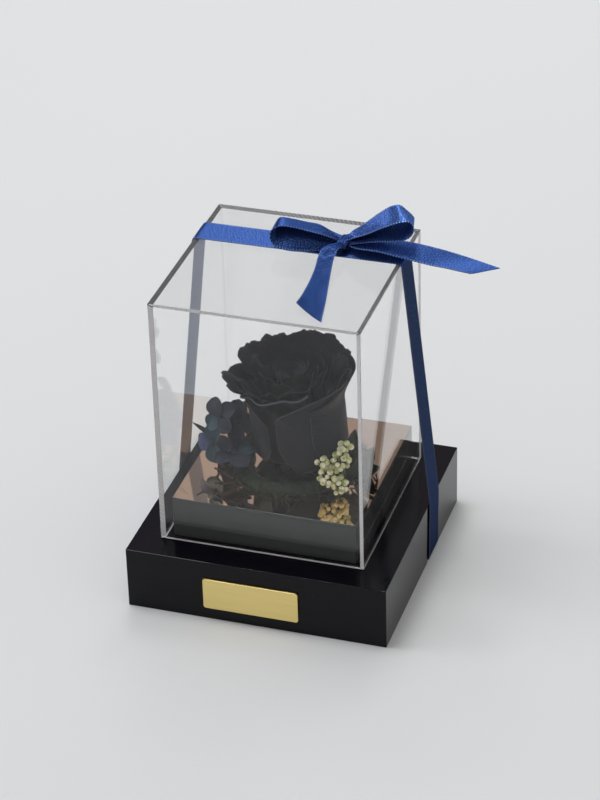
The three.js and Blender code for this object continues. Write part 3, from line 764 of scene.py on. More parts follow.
rightTailStations = [
    ((21.8, 16.0, 154.6), (21.8, 21.5, 153.8), 0.0, 0.0, 0.8),
    ((27.0, 12.8, 155.2), (27.5, 25.0, 153.6), 0.6, 0.0, 0.35),
    ((36.6, 11.8, 155.6), (38.0, 26.0, 154.4), 0.5, 0.0, 0.0),
    ((47.0, 11.5, 154.4), (48.5, 26.4, 154.2), 0.3, 0.0, 0.0),
    ((60.0, 11.5, 152.7), (60.0, 26.4, 152.9), 0.2, 0.0, 0.0),
    ((70.0, 11.5, 151.9), (73.0, 26.5, 150.4), 0.1, 0.0, 0.0),
    ((78.2, 11.5, 151.0), (87.4, 26.5, 147.0), 0.0, 0.0, 0.0),
]
frontTailStations = [
    ((17.2, 14.6, 155.4), (21.4, 14.2, 155.0), 0.8, 0.0, 0.4),
    ((13.4, 8.5, 156.5), (20.0, 8.8, 156.3), 1.2, 0.0, 0.2),
    ((12.4, 3.4, 154.2), (19.6, 3.9, 154.6), 0.8, 1.2, 0.0),
    ((13.2, -4.6, 152.4), (20.9, -5.1, 153.0), 0.3, 1.4, 0.0),
    ((14.0, -16.6, 151.8), (23.4, -17.1, 152.7), 0.0, 1.2, 0.0),
    ((14.3, -27.0, 151.9), (25.8, -29.0, 151.7), -0.5, 0.6, 0.0),
    ((14.4, -34.0, 152.6), (28.8, -45.0, 151.3), -0.6, 0.0, 0.0),
]
bowLook = {
    "columns": 28,
    "rowLength": 0.7,
    "foldHeight": 0.85,
    "foldCount": 2.6,
    "unevenHeight": 0.12,
    "knotCentre": (20.3, 18.9, 154.4),
    "knotRadii": (5.0, 2.6),
    "knotWidth": 4.8,
    "knotShows": 0.5,
    "knotCreases": (0.38, 2.5),
}


def bowStrip(name, stations, satins, width, replaces, up=1, phase=0.0, creasePlace=0.3):
    # up is 1 where the strip's face is its upper side
    look = bowLook
    fronts = [Vector(s[0]) for s in stations]
    backs = [Vector(s[1]) for s in stations]
    shapes = [Vector(s[2:]) for s in stations]
    middles = [(a + b) / 2 for a, b in zip(fronts, backs)]
    steps = 400
    fine = [splinePoint(middles, k / steps) for k in range(steps + 1)]
    reach = [0.0]
    for a, b in zip(fine, fine[1:]):
        reach.append(reach[-1] + (b - a).length)
    length = reach[-1]

    def stationAt(v):
        # place among the stations for a share v of the strip's length
        k = next((n for n in range(1, steps + 1) if reach[n] >= v * length), steps)
        return (k - 1 + (v * length - reach[k - 1]) / (reach[k] - reach[k - 1])) / steps

    rows = int(length / look["rowLength"])
    places = [stationAt(k / rows) for k in range(rows + 1)]

    def pointAt(u, v):
        s = places[round(v * rows)]
        a, b = splinePoint(fronts, s), splinePoint(backs, s)
        bulge, crease, folds = splinePoint(shapes, s)
        along = splinePoint(middles, min(s + 0.01, 1)) - splinePoint(middles, max(s - 0.01, 0))
        normal = (b - a).cross(along).normalized() * up
        lift = bulge * 4 * u * (1 - u)
        lift -= crease * min(u / creasePlace, (1 - u) / (1 - creasePlace))
        wave = math.sin(math.tau * look["foldCount"] * u + phase + 1.5 * wobble(v * 3, phase))
        lift += look["foldHeight"] * folds * wave * min(1.0, 6 * min(u, 1 - u) + 0.3)
        lift += look["unevenHeight"] * wobble(u * 2.2, v * length / 7, phase)
        return a + (b - a) * u + normal * lift

    # the strip's inner face takes the second finish, a darker copy of the satin: painted shade inside the
    # loops
    face, reverse = (0, 1) if up > 0 else (1, 0)
    parts = MeshParts()
    parts.addSheet(pointAt, look["columns"], rows, ribbonLook["thickness"], face, (width, length), reverse)
    piece = addPiece(name, parts.mesh(name), satins, "satin_ribbon", replaces)
    print(name, round(length, 1), "mm long")


def bowKnot(satin, width):
    look = bowLook
    centre = Vector(look["knotCentre"])
    acrossRadius, upRadius = look["knotRadii"]
    depth, count = look["knotCreases"]
    # the way round an oval of these radii
    around = math.pi * (3 * (acrossRadius + upRadius)
                        - math.sqrt((3 * acrossRadius + upRadius) * (acrossRadius + 3 * upRadius)))

    def pointAt(u, v):
        a = math.tau * v - math.pi / 2
        side = u - 0.5
        swell = 1 - 0.5 * abs(side * 2) ** 2.5
        creases = depth * math.sin(math.tau * count * u + 0.8 + 0.9 * wobble(v * 3, 5.0))
        ring = Vector((0, math.cos(a) * (acrossRadius * mix(0.86, 1, swell) + creases),
                       math.sin(a) * (upRadius * mix(0.7, 1, swell) + creases)))
        spread = look["knotWidth"] * (0.82 + 0.18 * math.sin(a))
        return centre + ring + Vector((side * spread + 0.8 * math.cos(a), 0, 0.5 * side))

    parts = MeshParts()
    parts.addSheet(pointAt, 24, 64, ribbonLook["thickness"], uvSize=(width, around))
    knot = addPiece("bowKnot", parts.mesh("bowKnot"), [satin], "satin_ribbon", ["bow_knot"])


def makeRibbon():
    look = ribbonLook
    satin = satinRibbon(look, "satinRibbon")
    # darker copies of the satin paint shade on the strips' inner faces and on the right side run; a brighter
    # copy paints light on the right loop
    reverse, bright, paintedShade = (satinRibbon(look, "satin" + kind.title(), look[kind + "Tone"])
                               for kind in ("reverse", "bright", "paintedShade"))
    satins = [satin, reverse]
    width = ribbonBand(look, [satin, paintedShade])
    bowStrip("bowLoopLeft", leftLoopStations, satins, width, ["bow_loop_left"], up=1, phase=0.4)
    # the right loop's outer face is the brighter copy: painted light
    bowStrip("bowLoopRight", rightLoopStations, [bright, reverse], width, ["bow_loop_right"], up=-1,
             phase=2.0)
    bowStrip("bowTailRight", rightTailStations, satins, width, ["bow_tail_right"], up=-1, phase=1.1)
    bowStrip("bowTailFront", frontTailStations, satins, width, ["bow_tail_front"], up=-1,
             phase=0.2, creasePlace=0.45)
    bowKnot(satin, width)


makeRibbon()
print("ribbon and bow made")


# rose: 21 petals in five whorls round a heart of small rolled petals
roseLook = {
    "place": (4.0, 3.0, 50.0),
    "tilt": (4.4, -4.5),
    "headHeight": 53.0,
    "bodyRadius": 21.6,
    "bodyStep": 2.75,
    "footRadius": 2.2,
    "footStep": 1.7,
    "bowlShare": 0.17,
    "flareShare": 0.46,
    "thickness": 0.34,
    "foot": 0.035,
    "tuck": -1.2,
    "columns": 40,
    "rows": 36,
    "inside": (0.0020, 0.0022, 0.0060),
    "outside": (0.0270, 0.0290, 0.0360),
    # the petal rims are painted highlights: faint on the dark insides, stronger on the outer whorl's
    # outsides, strongest on petal 2_1's rolled lip
    "faintRimHighlight": (0.012, 0.013, 0.019),
    "outerRimHighlight": (0.060, 0.062, 0.074),
    "lightRimHighlight": (0.100, 0.105, 0.125),
    "paintedHighlightRimmed": ("2_1",),
    "heartPetals": 20,
    "heartTurn": 137.5,
    "heartRadius": (9.2, 1.3),
    "heartTop": (50.5, 47.0),
    "heartSpread": (62, 150),
    "heartFoot": 14.0,
    "smallThickness": 0.3,
    "sepals": 5,
    "sepalFrom": 6.5,
    "sepalLength": 9.5,
    "sepalHalfWidth": 2.6,
}
# each petal: which way it faces, half its angle, its height, how much lower its corners are and how far
# out its rim is; shoulder tells how square a petal's top is, lean how much higher its one side stands
roseWhorls = [
    {"petals": ((-30, 65, 50.5, 15, 30), (188, 61, 38, 9, 25), (4, 60, 49, 10, 30.5),
                (110, 64, 47, 10, 31)),
     "opensAt": 0.58, "curl": 1.8, "curlAngle": 35, "ruffle": 0.4, "jag": 0.5, "shoulder": 3.6, "lean": 0},
    {"petals": ((-105, 50, 48.2, 2, 31), (-28, 46, 50.8, 8, 34), (46, 44, 51.0, 9, 34),
                (114, 42, 51.4, 10, 36), (184, 48, 50.0, 6, 38)),
     "opensAt": 0.66, "curl": 3.4, "curlAngle": 70, "ruffle": 1.2, "jag": 1.8, "shoulder": 2.3, "lean": 4},
    {"petals": ((-74, 44, 50.6, 5, 24), (8, 40, 52.0, 7, 29), (84, 40, 52.4, 8, 31),
                (150, 40, 52.6, 8, 33), (218, 40, 51.4, 7, 29)),
     "opensAt": 0.66, "curl": 2.6, "curlAngle": 45, "ruffle": 1.4, "jag": 1.9, "shoulder": 2.3, "lean": 1.5},
    {"petals": ((-120, 50, 50.6, 5, 17), (-25, 50, 51.4, 5, 19), (70, 50, 52.0, 5, 22),
                (160, 50, 51.6, 5, 22)),
     "opensAt": 0.66, "curl": 2.2, "curlAngle": 45, "ruffle": 1.2, "jag": 1.6, "shoulder": 2.3, "lean": 1},
    {"petals": ((-30, 66, 49.6, 4, 14), (90, 66, 50.6, 4, 15), (210, 66, 50.1, 4, 15)),
     "opensAt": 0.66, "curl": 1.8, "curlAngle": 45, "ruffle": 1.0, "jag": 1.2, "shoulder": 2.3, "lean": 1},
]


def roseMaterial(name, colour, rimHighlightColour):
    made = newMaterial(name, colour, 0.6, {
        "Specular IOR Level": 0.1, "Sheen Weight": 0.015, "Sheen Roughness": 0.45,
        "Sheen Tint": (0.5, 0.5, 0.8, 1)})
    flat, across, up = flatPlace(made)
    fibres = noiseNode(made, 1.0, 2, 0.5, (26, 1.6, 1), flat)
    tone = rampNode(made, fibres, [(0.3, dimmed(colour, 0.6)), (0.7, colour)])
    # a thin painted highlight along the side edges and the top edge
    sideRimHighlight = rangeNode(made, fromMiddleNode(made, across, 0.5), 0.490, 0.5)
    rim = mathNode(made, "MAXIMUM", sideRimHighlight, rangeNode(made, up, 0.984, 1.0))
    feed(made, "Base Color", blendNode(made, rim, tone, (*rimHighlightColour, 1)))
    feed(made, "Roughness", rangeNode(made, fibres, 0.3, 0.7, 0.5, 0.62))
    feed(made, "Normal", bumpNode(made, fibres, 0.12, 0.0002))
    return made


def cupAt(whorl, index, rim, t):
    # radius and height of the cup that a whorl's petals lie on
    look = roseLook
    body = look["bodyRadius"] - look["bodyStep"] * index
    foot = look["footRadius"] + look["footStep"] * index
    bowl = math.sqrt(max(0.0, 1 - (1 - min(t / look["bowlShare"], 1)) ** 2))
    flare = smoothStep(whorl["opensAt"], whorl["opensAt"] + look["flareShare"], t)
    return Vector((body * bowl + (rim - body) * flare, foot + (look["headHeight"] - foot) * t))


def cupDirections(whorl, index, rim, t):
    # along the cup towards its rim, and outwards from it
    along = (cupAt(whorl, index, rim, t + 0.01) - cupAt(whorl, index, rim, max(t - 0.01, 0.0))).normalized()
    return along, Vector((along.y, -along.x))


def petalSurface(whorl, index, petal, seed):
    look = roseLook
    facing, spread, tall, corner, rim = petal

    def pointAt(u, v):
        side = 2 * u - 1
        # how high the rim stands here, with ragged teeth
        teeth = abs(wobble(side * 4.6, seed)) * 1.6 + abs(wobble(side * 12.0, seed, 4.0)) * 0.9
        height = tall - corner * abs(side) ** whorl["shoulder"]
        height += whorl["lean"] * side - whorl["jag"] * teeth
        top = height / look["headHeight"]
        t = mix(look["foot"], top, v)
        # the rim curls outwards from a line below it
        curlLength = whorl["curl"] * (0.75 + 0.6 * wobble(side * 1.7, seed, 2.0))
        curlAngle = math.radians(whorl["curlAngle"]) * (0.85 + 0.9 * wobble(side * 1.4, seed, 8.0))
        curlFrom = top - curlLength / look["headHeight"]
        spot = cupAt(whorl, index, rim, min(t, curlFrom))
        along, outward = cupDirections(whorl, index, rim, min(t, curlFrom))
        if t > curlFrom:
            radius = curlLength / max(curlAngle, 0.2)
            turned = (t - curlFrom) * look["headHeight"] / radius
            spot = spot + along * radius * math.sin(turned) + outward * radius * (1 - math.cos(turned))
        # one side is tucked in under the next petal, the rim ruffles and the face has shallow dents
        tuck = look["tuck"] * side * (1 + 1.1 * smoothStep(0.6, 0.95, t))
        ruffle = 1.5 * wobble(side * 2.6, v * 1.6, seed) + 0.5 * math.sin(side * 7.5 + seed * 2.3)
        ruffle *= whorl["ruffle"] * smoothStep(0.35, 1.0, v)
        dent = 0.7 * wobble(side * 1.3, v * 2.4, seed + 20.0) * smoothStep(0.1, 0.4, v)
        spot = spot + outward * (tuck + ruffle + dent)
        narrow = 0.7 + 0.3 * smoothStep(0, 0.55, v)
        angle = math.radians(facing + side * spread * narrow + 2.0 * wobble(v * 2.2, side, seed + 5.0))
        return circlePoint(angle, spot.x, spot.y)

    return pointAt


def rolledPetal(radius, facing, spread, foot, top, seed):
    def pointAt(u, v):
        side = 2 * u - 1
        teeth = 0.9 * abs(wobble(side * 3.3, seed))
        z = foot + (top - 1.6 * abs(side) ** 2.4 - teeth - foot) * v
        inward = radius * (1 - 0.28 * smoothStep(0.55, 0.9, v)) + 1.5 * smoothStep(0.86, 1.0, v)
        spot = inward * (0.5 + 0.5 * smoothStep(0, 0.35, v)) + side * 0.7
        spot += 0.55 * wobble(side * 2.1, v * 2.0, seed) * smoothStep(0.5, 1, v)
        return circlePoint(math.radians(facing + side * spread), spot, z)

    return pointAt


def makeRose(look):
    dark = roseMaterial("petalInside", look["inside"], look["faintRimHighlight"])
    outer = roseMaterial("petalOutside", look["outside"], look["outerRimHighlight"])
    paintedHighlightRimmed = roseMaterial("petalPaintedRimHighlight", look["inside"], look["lightRimHighlight"])
    tilt = [math.radians(a) for a in look["tilt"]]
    leaning = Matrix.Rotation(tilt[0], 4, "X") @ Matrix.Rotation(tilt[1], 4, "Y")
    head = Matrix.Translation(look["place"]) @ leaning
    for index, whorl in enumerate(roseWhorls):
        for n, petal in enumerate(whorl["petals"]):
            parts = MeshParts()
            surface = petalSurface(whorl, index, petal, 3.7 * index + 1.31 * n)
            parts.addSheet(surface, look["columns"], look["rows"], look["thickness"], slot=1, underSlot=0)
            number = f"{index + 1}_{n + 1}"
            finishes = [dark, dark if index else outer]
            # petal 2_1's lip takes the strongest painted highlight
            if number in look["paintedHighlightRimmed"]:
                finishes = [paintedHighlightRimmed, paintedHighlightRimmed]
            addPiece("rosePetal_" + number, parts.place(head).mesh("rosePetal_" + number), finishes,
                     "rose_petal", ["rose_petal_" + number])

    heart = MeshParts()
    draw = random.Random(12)
    count = look["heartPetals"]
    for n in range(count):
        share = n / (count - 1)
        radius = mix(*look["heartRadius"], share ** 0.85)
        top = mix(*look["heartTop"], share) + draw.uniform(-0.5, 0.5)
        facing = look["heartTurn"] * n + draw.uniform(-12, 12)
        spread = mix(*look["heartSpread"], share)
        surface = rolledPetal(radius, facing, spread, look["heartFoot"], top, n * 1.7)
        heart.addSheet(surface, 22, 18, look["smallThickness"])
    addPiece("roseHeart", heart.place(head).mesh("roseHeart"), [dark], "rose_petal", ["rose_heart"])

    # green cup under the head, with small sepals bent down over the mirror
    cup = MeshParts()
    profile = [(0.05, -2.6), (4.0, -2.6), (4.3, 0.6), (6.4, 1.9), (8.4, 3.0),
               (8.6, 3.8), (7.4, 5.4), (5.8, 7.2), (3.4, 10.2), (0.05, 11.1)]
    line = [Vector((0, 0, z)) for r, z in profile]
    cup.addTube(line, lambda s: profile[round(s * (len(profile) - 1))][0], sides=28)
    for n in range(look["sepals"]):
        out = circlePoint(math.radians(360 / look["sepals"] * n + 20))
        across = Vector((-out.y, out.x, 0))

        def sepal(u, v, out=out, across=across, n=n):
            half = look["sepalHalfWidth"] * math.sin(math.pi * (0.18 + 0.8 * v)) * (2 * u - 1)
            z = 2.2 - 0.9 * v + 0.5 * wobble(v * 3, n)
            return out * (look["sepalFrom"] + look["sepalLength"] * v) + across * half + Vector((0, 0, z))

        cup.addSheet(sepal, 8, 12, look["smallThickness"])
    addPiece("roseCup", cup.place(head).mesh("roseCup"), [leafMaterial], "dark_leaf", ["rose_receptacle"])


# leaves, also used for the green cup under the rose
leafLook = {
    "colour": (0.030, 0.040, 0.026),
    "dark": (0.012, 0.018, 0.012),
    "vein": (0.075, 0.085, 0.055),
    "thickness": 0.28,
    "bend": 0.08,
    "fold": 0.22,
    "veins": 8,
    "veinSlant": 0.35,
    "stalkRadius": 0.42,
}
# foot, tip, width, the way its face looks
leafPlaces = [
    ((28, -9, 57), (31, -6, 75.5), 7.5, (0.2, -1, 0.2)),
    ((32.5, -14.5, 55), (36.5, -12, 69), 6.0, (0.3, -1, 0.3)),
    ((31, -9, 51.5), (41, -8, 58.5), 8.0, (-0.2, -0.6, 0.8)),
    ((32.5, -16, 51), (39, -22.5, 54.5), 6.0, (-0.3, 0.2, 0.9)),
    ((-33.5, -6, 58), (-43.5, -10.5, 69.5), 2.6, (0.4, -0.6, 0.7)),
    ((29.5, 2.0, 52), (35.5, 1.0, 62.5), 7.0, (0.3, -1, 0.2)),
]


def makeLeafMaterial(look):
    made = newMaterial("darkLeaf", look["colour"], 0.6, {"Specular IOR Level": 0.4})
    across, along = flatPlace(made)[1:]
    # a rib along the middle, and side veins that slant away from it
    fromRib = fromMiddleNode(made, across, 0.5)
    slant = mathNode(made, "SUBTRACT", along, mathNode(made, "MULTIPLY", fromRib, look["veinSlant"]))
    veins = rangeNode(made, sineNode(made, slant, 1 / look["veins"]), 0.86, 1.0)
    lines = mathNode(made, "MAXIMUM", veins, rangeNode(made, fromRib, 0.035, 0.0))
    tone = rampNode(made, noiseNode(made, 240, 4), [(0.35, look["dark"]), (0.65, look["colour"])])
    faint = mathNode(made, "MULTIPLY", lines, 0.6)
    feed(made, "Base Color", blendNode(made, faint, tone, (*look["vein"], 1)))
    feed(made, "Normal", bumpNode(made, lines, 0.5, 0.0002))
    return made


leafMaterial = makeLeafMaterial(leafLook)


def addLeaf(parts, foot, tip, width, faces, bend, seed):
    along = tip - foot
    normal = (faces - along * faces.dot(along) / along.length_squared).normalized()
    across = along.cross(normal).normalized()

    def leafPoint(u, v):
        side = 2 * u - 1
        outline = 0.06 + 0.94 * math.sin(math.pi * v ** 0.85) ** 0.8
        half = width / 2 * outline * (1 + 0.08 * wobble(v * 5, seed))
        fold = leafLook["fold"] * width * abs(side) ** 1.3 * math.sin(math.pi * v)
        arch = bend * along.length * math.sin(math.pi * v)
        lift = fold + arch + 0.5 * wobble(side * 1.5, v * 3, seed)
        return foot + along * v + across * half * side + normal * lift

    parts.addSheet(leafPoint, 12, 22, leafLook["thickness"])
    stalk = [foot - along * 0.18, foot - along * 0.05 + normal * 0.1, foot + along * 0.08]
    parts.addTube(stalk, lambda s: leafLook["stalkRadius"] - 0.16 * s, 6)


def makeLeaves():
    for n, (foot, tip, width, faces) in enumerate(leafPlaces):
        parts = MeshParts()
        addLeaf(parts, Vector(foot), Vector(tip), width, Vector(faces), leafLook["bend"], 2.1 * n)
        node = f"leaf_{n + 1}"
        addPiece(node + "_shaped", parts.mesh("leaf"), [leafMaterial], "dark_leaf", [node])


makeRose(roseLook)
makeLeaves()
print("rose and leaves made")


# hydrangea: six florets of four rounded petals on one branching stem
hydrangeaLook = {
    "thickness": 0.3,
    "navy": (0.007, 0.010, 0.028),
    "teal": (0.016, 0.054, 0.076),
    "lilac": (0.044, 0.062, 0.150),
    "petals": 4,
    "petalHalfWidth": 0.46,
    "middleRadius": 0.95,
    "stamens": 6,
    "root": (-19, -12, 50.4),
    "fork": (-22, -8, 59),
}
# centre, the way it faces, turn round that way, petal length, shades of its four petals
floretPlaces = [
    ((-30.2, -10.6, 75.2), (-0.3, -0.85, 0.45), 48, 8.8, "navy navy teal navy"),
    ((-23.0, -8.0, 71.8), (-0.2, -0.9, 0.35), 10, 9.8, "navy navy navy navy"),
    ((-32.6, -13.6, 62.8), (-0.25, -0.93, 0.25), 10, 9.2, "navy teal lilac teal"),
    ((-27, 14, 66), (-0.85, 0.2, 0.5), 20, 8.6, "navy navy teal navy"),
    ((-22.2, -16.6, 60.0), (0.05, -0.15, 1.0), 25, 9.6, "teal navy navy navy"),
    ((-32.0, 3, 64), (-0.8, -0.1, 0.6), 15, 8.6, "navy teal navy navy"),
]


def floretMaterial(name, colour):
    made = newMaterial(name, colour, 0.6, {
        "Specular IOR Level": 0.35, "Sheen Weight": 0.1, "Sheen Roughness": 0.5})
    flat, across, along = flatPlace(made)
    veins = noiseNode(made, 1.0, 4, 0.5, (22, 2.5, 1), flat)
    shades = [(0.35, dimmed(colour, 0.55)), (0.55, colour), (0.72, dimmed(colour, 1.5))]
    nearMiddle = rangeNode(made, along, 0.0, 0.45, 0.75, 0.0)
    middle = (*dimmed(colour, 0.35), 1)
    feed(made, "Base Color", blendNode(made, nearMiddle, rampNode(made, veins, shades), middle))
    feed(made, "Normal", bumpNode(made, veins, 0.4, 0.0002))
    return made


def addFloret(parts, centre, faces, turn, size, shades, seed):
    look = hydrangeaLook
    place = Matrix.Translation(centre) @ faces.to_track_quat("Z", "Y").to_matrix().to_4x4()
    for n in range(look["petals"]):
        facing = turn + 360 / look["petals"] * n + 6 * wobble(seed, n * 1.7)
        out = circlePoint(math.radians(facing))
        across = Vector((-out.y, out.x, 0))
        length = size * (1 + 0.14 * wobble(seed * 2, n * 2.3))
        lift = 0.22 if n % 2 else -0.12

        def petalPoint(u, v):
            side = 2 * u - 1
            shape = math.sqrt(max(0.0, 1 - (2 * v ** 1.3 - 1) ** 2))
            half = look["petalHalfWidth"] * length * max(shape, 0.14 * (1 - v))
            z = lift + 1.5 * v - 1.7 * v ** 3 + 0.9 * side * side * shape - 0.25
            z += 0.8 * wobble(side * 1.3 + n * 3, v * 2.2, seed) * v
            return place @ (out * length * v + across * half * side + Vector((0, 0, z)))

        parts.addSheet(petalPoint, 14, 16, look["thickness"], slot=shades[n])
    up = place.to_3x3() @ Vector((0, 0, 1))
    parts.addBall(centre + up * 0.6, look["middleRadius"], up, 8, 10, slot=shades[0])
    for n in range(look["stamens"]):
        spot = place @ circlePoint(math.tau * n / look["stamens"] + seed, 1.1, 1.5)
        line = [centre + up * 0.4, (centre + spot) / 2 + up * 0.7, spot + up * 0.3]
        parts.addTube(line, lambda s: 0.16, 5, slot=shades[0])
        parts.addBall(spot + up * 0.4, 0.32, up, 5, 7, slot=shades[0])


def bentLine(start, end, sag, count=14, seed=0.0):
    middle = (start + end) / 2 + sag
    line = [splinePoint([start, middle, end], k / (count - 1)) for k in range(count)]
    sway = [Vector((wobble(k * 0.5, seed), wobble(k * 0.5, seed + 4), 0)) * 0.3 for k in range(count)]
    return [point + aside for point, aside in zip(line, sway)]


def twigMaterialOf(name, colour, dark):
    tones = [(0.35, dark), (0.65, colour)]
    return mottledMaterial(name, (700, 4, 0.6, (1, 1, 0.3)), tones, 0.75, bumps=(0.7, 0.0002))


twigMaterial = twigMaterialOf("dryTwig", (0.060, 0.034, 0.022), (0.018, 0.011, 0.008))
stalkMaterial = twigMaterialOf("greenStalk", (0.13, 0.16, 0.06), (0.04, 0.055, 0.02))


def makeHydrangea(look):
    shadeNames = ["navy", "teal", "lilac"]
    finishes = [floretMaterial("hydrangea" + name.title(), look[name]) for name in shadeNames]
    root, fork = Vector(look["root"]), Vector(look["fork"])
    stem = MeshParts()
    lower = bentLine(root - Vector((0, 0, 0.3)), fork, Vector((0.6, 0, 0)))
    stem.addTube(lower, lambda s: 1.0 - 0.25 * s, 8)
    for n, (centre, faces, turn, size, shades) in enumerate(floretPlaces):
        centre, faces = Vector(centre), Vector(faces).normalized()
        parts = MeshParts()
        slots = [shadeNames.index(shade) for shade in shades.split()]
        addFloret(parts, centre, faces, turn, size, slots, 1.9 * n + 0.6)
        addPiece(f"hydrangeaFloret_{n + 1}", parts.mesh("floret"), finishes, "hydrangea_floret",
                 [f"hydrangea_floret_{n + 1}"])
        stem.addTube(bentLine(fork, centre - faces * 0.4, -faces * 3, seed=n), lambda s: 0.7 - 0.4 * s, 7)
    addPiece("hydrangeaStem", stem.mesh("hydrangeaStem"), [twigMaterial], "twig", ["hydrangea_stem"])


# berries: round heads of small pale buds on thin green stalks
berryLook = {
    "radius": 1.4,
    "spacing": 1.7,
    "tries": 900,
    "root": (27, -21, 50.5),
    "colour": (0.78, 0.78, 0.42),
    "pale": (1.0, 1.0, 0.84),
    "green": (0.42, 0.47, 0.14),
}
# centre, radius and number of berries of each head
berryHeads = [
    ((29.2, -16, 72.8), 4.0, 8),
    ((28.2, -18.6, 66.6), 5.4, 20),
    ((20.4, -22, 66.4), 4.0, 8),
    ((23.2, -22.5, 60.0), 5.8, 23),
    ((28.2, -22, 55.8), 5.2, 16),
]


def berryMaterial(look):
    made = newMaterial("paleBerry", look["colour"], 0.5, {
        "Subsurface Weight": 0.15, "Subsurface Scale": 0.001, "Subsurface Radius": (1.0, 0.9, 0.5)})
    tones = [(0.36, look["green"]), (0.5, look["colour"]), (0.64, look["pale"])]
    feed(made, "Base Color", rampNode(made, noiseNode(made, 520, 3), tones))
    feed(made, "Normal", bumpNode(made, noiseNode(made, 1500, 2), 0.4, 0.0002))
    return made


def makeBerries(look):
    draw = random.Random(31)
    parts = MeshParts()
    root = Vector(look["root"])
    for n, (centre, spread, count) in enumerate(berryHeads):
        centre = Vector(centre)
        under = centre - Vector((0, 0, spread * 0.8))
        stalk = bentLine(root, under, Vector((1.2, 0, -1)), seed=n + 30)
        parts.addTube(stalk, lambda s: 0.55 - 0.2 * s, 6, slot=1)
        placed = []
        for attempt in range(look["tries"]):
            way = Vector((draw.gauss(0, 1), draw.gauss(-0.5, 1), draw.gauss(0.15, 1))).normalized()
            spot = centre + way * (spread - look["radius"]) * draw.uniform(0.75, 1.05)
            if all((spot - other).length > look["radius"] * look["spacing"] for other, r in placed):
                placed.append((spot, look["radius"] * draw.uniform(0.7, 1.1)))
            if len(placed) == count:
                break
        for spot, radius in placed:
            way = (spot - under).normalized()
            parts.addTube([under, (under + spot) / 2 + way * 0.2, spot], lambda s: 0.24, 5, slot=1)

            def bumpy(polar, around, r=draw.uniform(0, 9)):
                # a dimple at the tip with a five-pointed crown round it
                dimple = 0.22 * math.exp(-(polar / 0.24) ** 2)
                crown = 0.09 * math.cos(around * 5) * math.exp(-((polar - 0.4) / 0.25) ** 2)
                return 1 - dimple + crown + 0.05 * wobble(polar * 2, around, r)

            parts.addBall(spot, radius, way, 12, 20, slot=0, shape=bumpy)
    addPiece("berrySprig", parts.mesh("berrySprig"), [berryMaterial(look), stalkMaterial], "berry",
             ["berry_sprig"])


# twigs: bare brown ends with a side shoot or two
# foot and tip, then how far up each shoot starts and where it ends
twigPlaces = {
    "twig_left": (((-21.0, -22.5, 51.2), (-30.0, -21.0, 54.0)),
                  [(0.3, (-26.5, -22.5, 51.6)), (0.55, (-28.0, -23.0, 52.4))]),
    "twig_right": (((40.4, -13, 50.5), (40.6, -12.2, 57)), [(0.5, (38.6, -13.5, 57))]),
}


def makeTwigs():
    for n, (node, ((foot, tip), shoots)) in enumerate(twigPlaces.items()):
        foot, tip = Vector(foot), Vector(tip)
        parts = MeshParts()
        parts.addTube(bentLine(foot, tip, Vector((0.5, 0.3, 0)), seed=n), lambda s: 0.65 - 0.35 * s, 8)
        parts.addBall(tip, 0.55, tip - foot, 6, 8)
        for share, end in shoots:
            start, end = foot.lerp(tip, share), Vector(end)
            shoot = bentLine(start, end, Vector((0, 0, 0.5)), 9, n + share)
            parts.addTube(shoot, lambda s: 0.42 - 0.2 * s, 7)
            parts.addBall(end, 0.5, end - start, 6, 8)
        addPiece(node + "_shaped", parts.mesh(node), [twigMaterial], "twig", [node])


# moss: a lumpy ring under the rose with tufts of short blades
mossLook = {
    "centre": (1.2, 0.4, 50.35),
    "inner": 20.5,
    "outer": 31.0,
    "height": 3.8,
    "lumps": 36,
    "tufts": 1300,
    "bladeLength": (1.6, 3.6),
    "bladeRadius": 0.26,
    "lumpFlatness": 1.6,
    "paleShare": 0.17,
    "frontReach": 3.5,
    "dark": (0.012, 0.016, 0.009),
    "green": (0.040, 0.054, 0.028),
    "pale": (0.20, 0.22, 0.12),
}


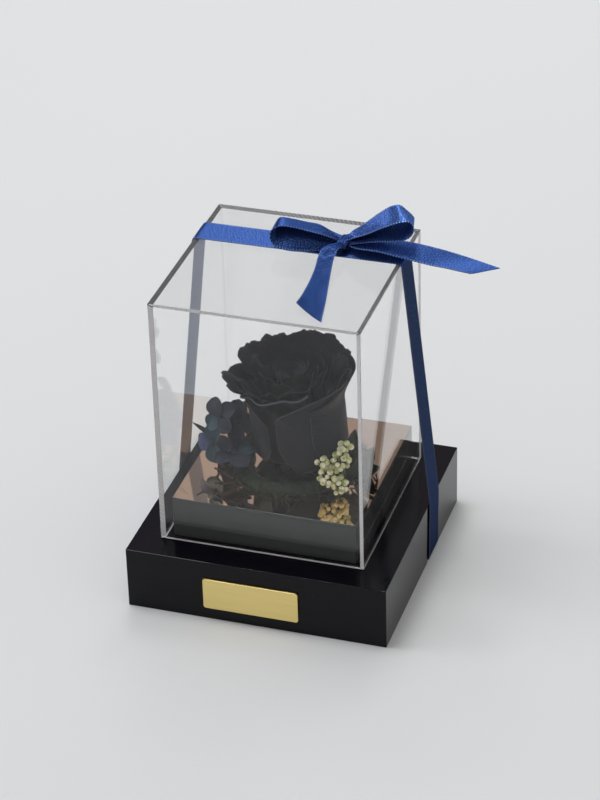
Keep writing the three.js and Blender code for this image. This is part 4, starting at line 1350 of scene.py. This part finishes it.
def mossMaterial(name, dark, light):
    tones = [(0.35, dark), (0.68, light)]
    return mottledMaterial(name, (420, 5, 0.7), tones, 0.85, bumps=(0.9, 0.0006),
                           sockets={"Specular IOR Level": 0.2})


def makeMoss(look):
    draw = random.Random(8)
    centre = Vector(look["centre"])
    parts = MeshParts()
    ring = (look["inner"] + look["outer"]) / 2
    half = (look["outer"] - look["inner"]) / 2
    for n in range(look["lumps"]):
        spot = centre + circlePoint(math.tau * n / look["lumps"], ring, 0.9)

        def lump(polar, around, n=n):
            return 0.85 + 0.35 * wobble(math.cos(around) * 2 + n, math.sin(around) * 2, polar * 1.5)

        start = len(parts.points)
        parts.addBall(spot, half, Vector((0, 0, 1)), 9, 14, shape=lump)
        for k in range(start, len(parts.points)):
            z = parts.points[k].z - spot.z
            parts.points[k].z = max(spot.z + z * look["height"] / half / look["lumpFlatness"], centre.z)
    for n in range(look["tufts"]):
        angle = draw.uniform(0, math.tau)
        # in front of the rose the moss lies a little further out
        reach = look["outer"] - 0.6 + look["frontReach"] * max(0.0, -math.sin(angle)) ** 2
        radius = draw.uniform(look["inner"] + 0.5, reach)
        foot = centre + circlePoint(angle, radius, 0.6)
        length = draw.uniform(*look["bladeLength"])
        lean = Vector((draw.uniform(-1, 1), draw.uniform(-1, 1), draw.uniform(0.5, 1.3))).normalized()
        bend = Vector((draw.uniform(-1, 1), draw.uniform(-1, 1), 0)) * 0.5
        slot = 1 if draw.random() < look["paleShare"] else 0
        blade = [foot, foot + lean * length * 0.6, foot + lean * length + bend]
        parts.addTube(blade, lambda s: look["bladeRadius"] - 0.2 * s, 3, slot=slot)
    for point in parts.points:
        point.z = max(point.z, centre.z)
    finishes = [mossMaterial("darkMoss", look["dark"], look["green"]),
                mossMaterial("paleMoss", look["green"], look["pale"])]
    addPiece("mossRing", parts.mesh("mossRing"), finishes, "moss", ["moss_collar"])


makeHydrangea(hydrangeaLook)
makeBerries(berryLook)
makeTwigs()
makeMoss(mossLook)
print("flowers, berries, twigs and moss made")
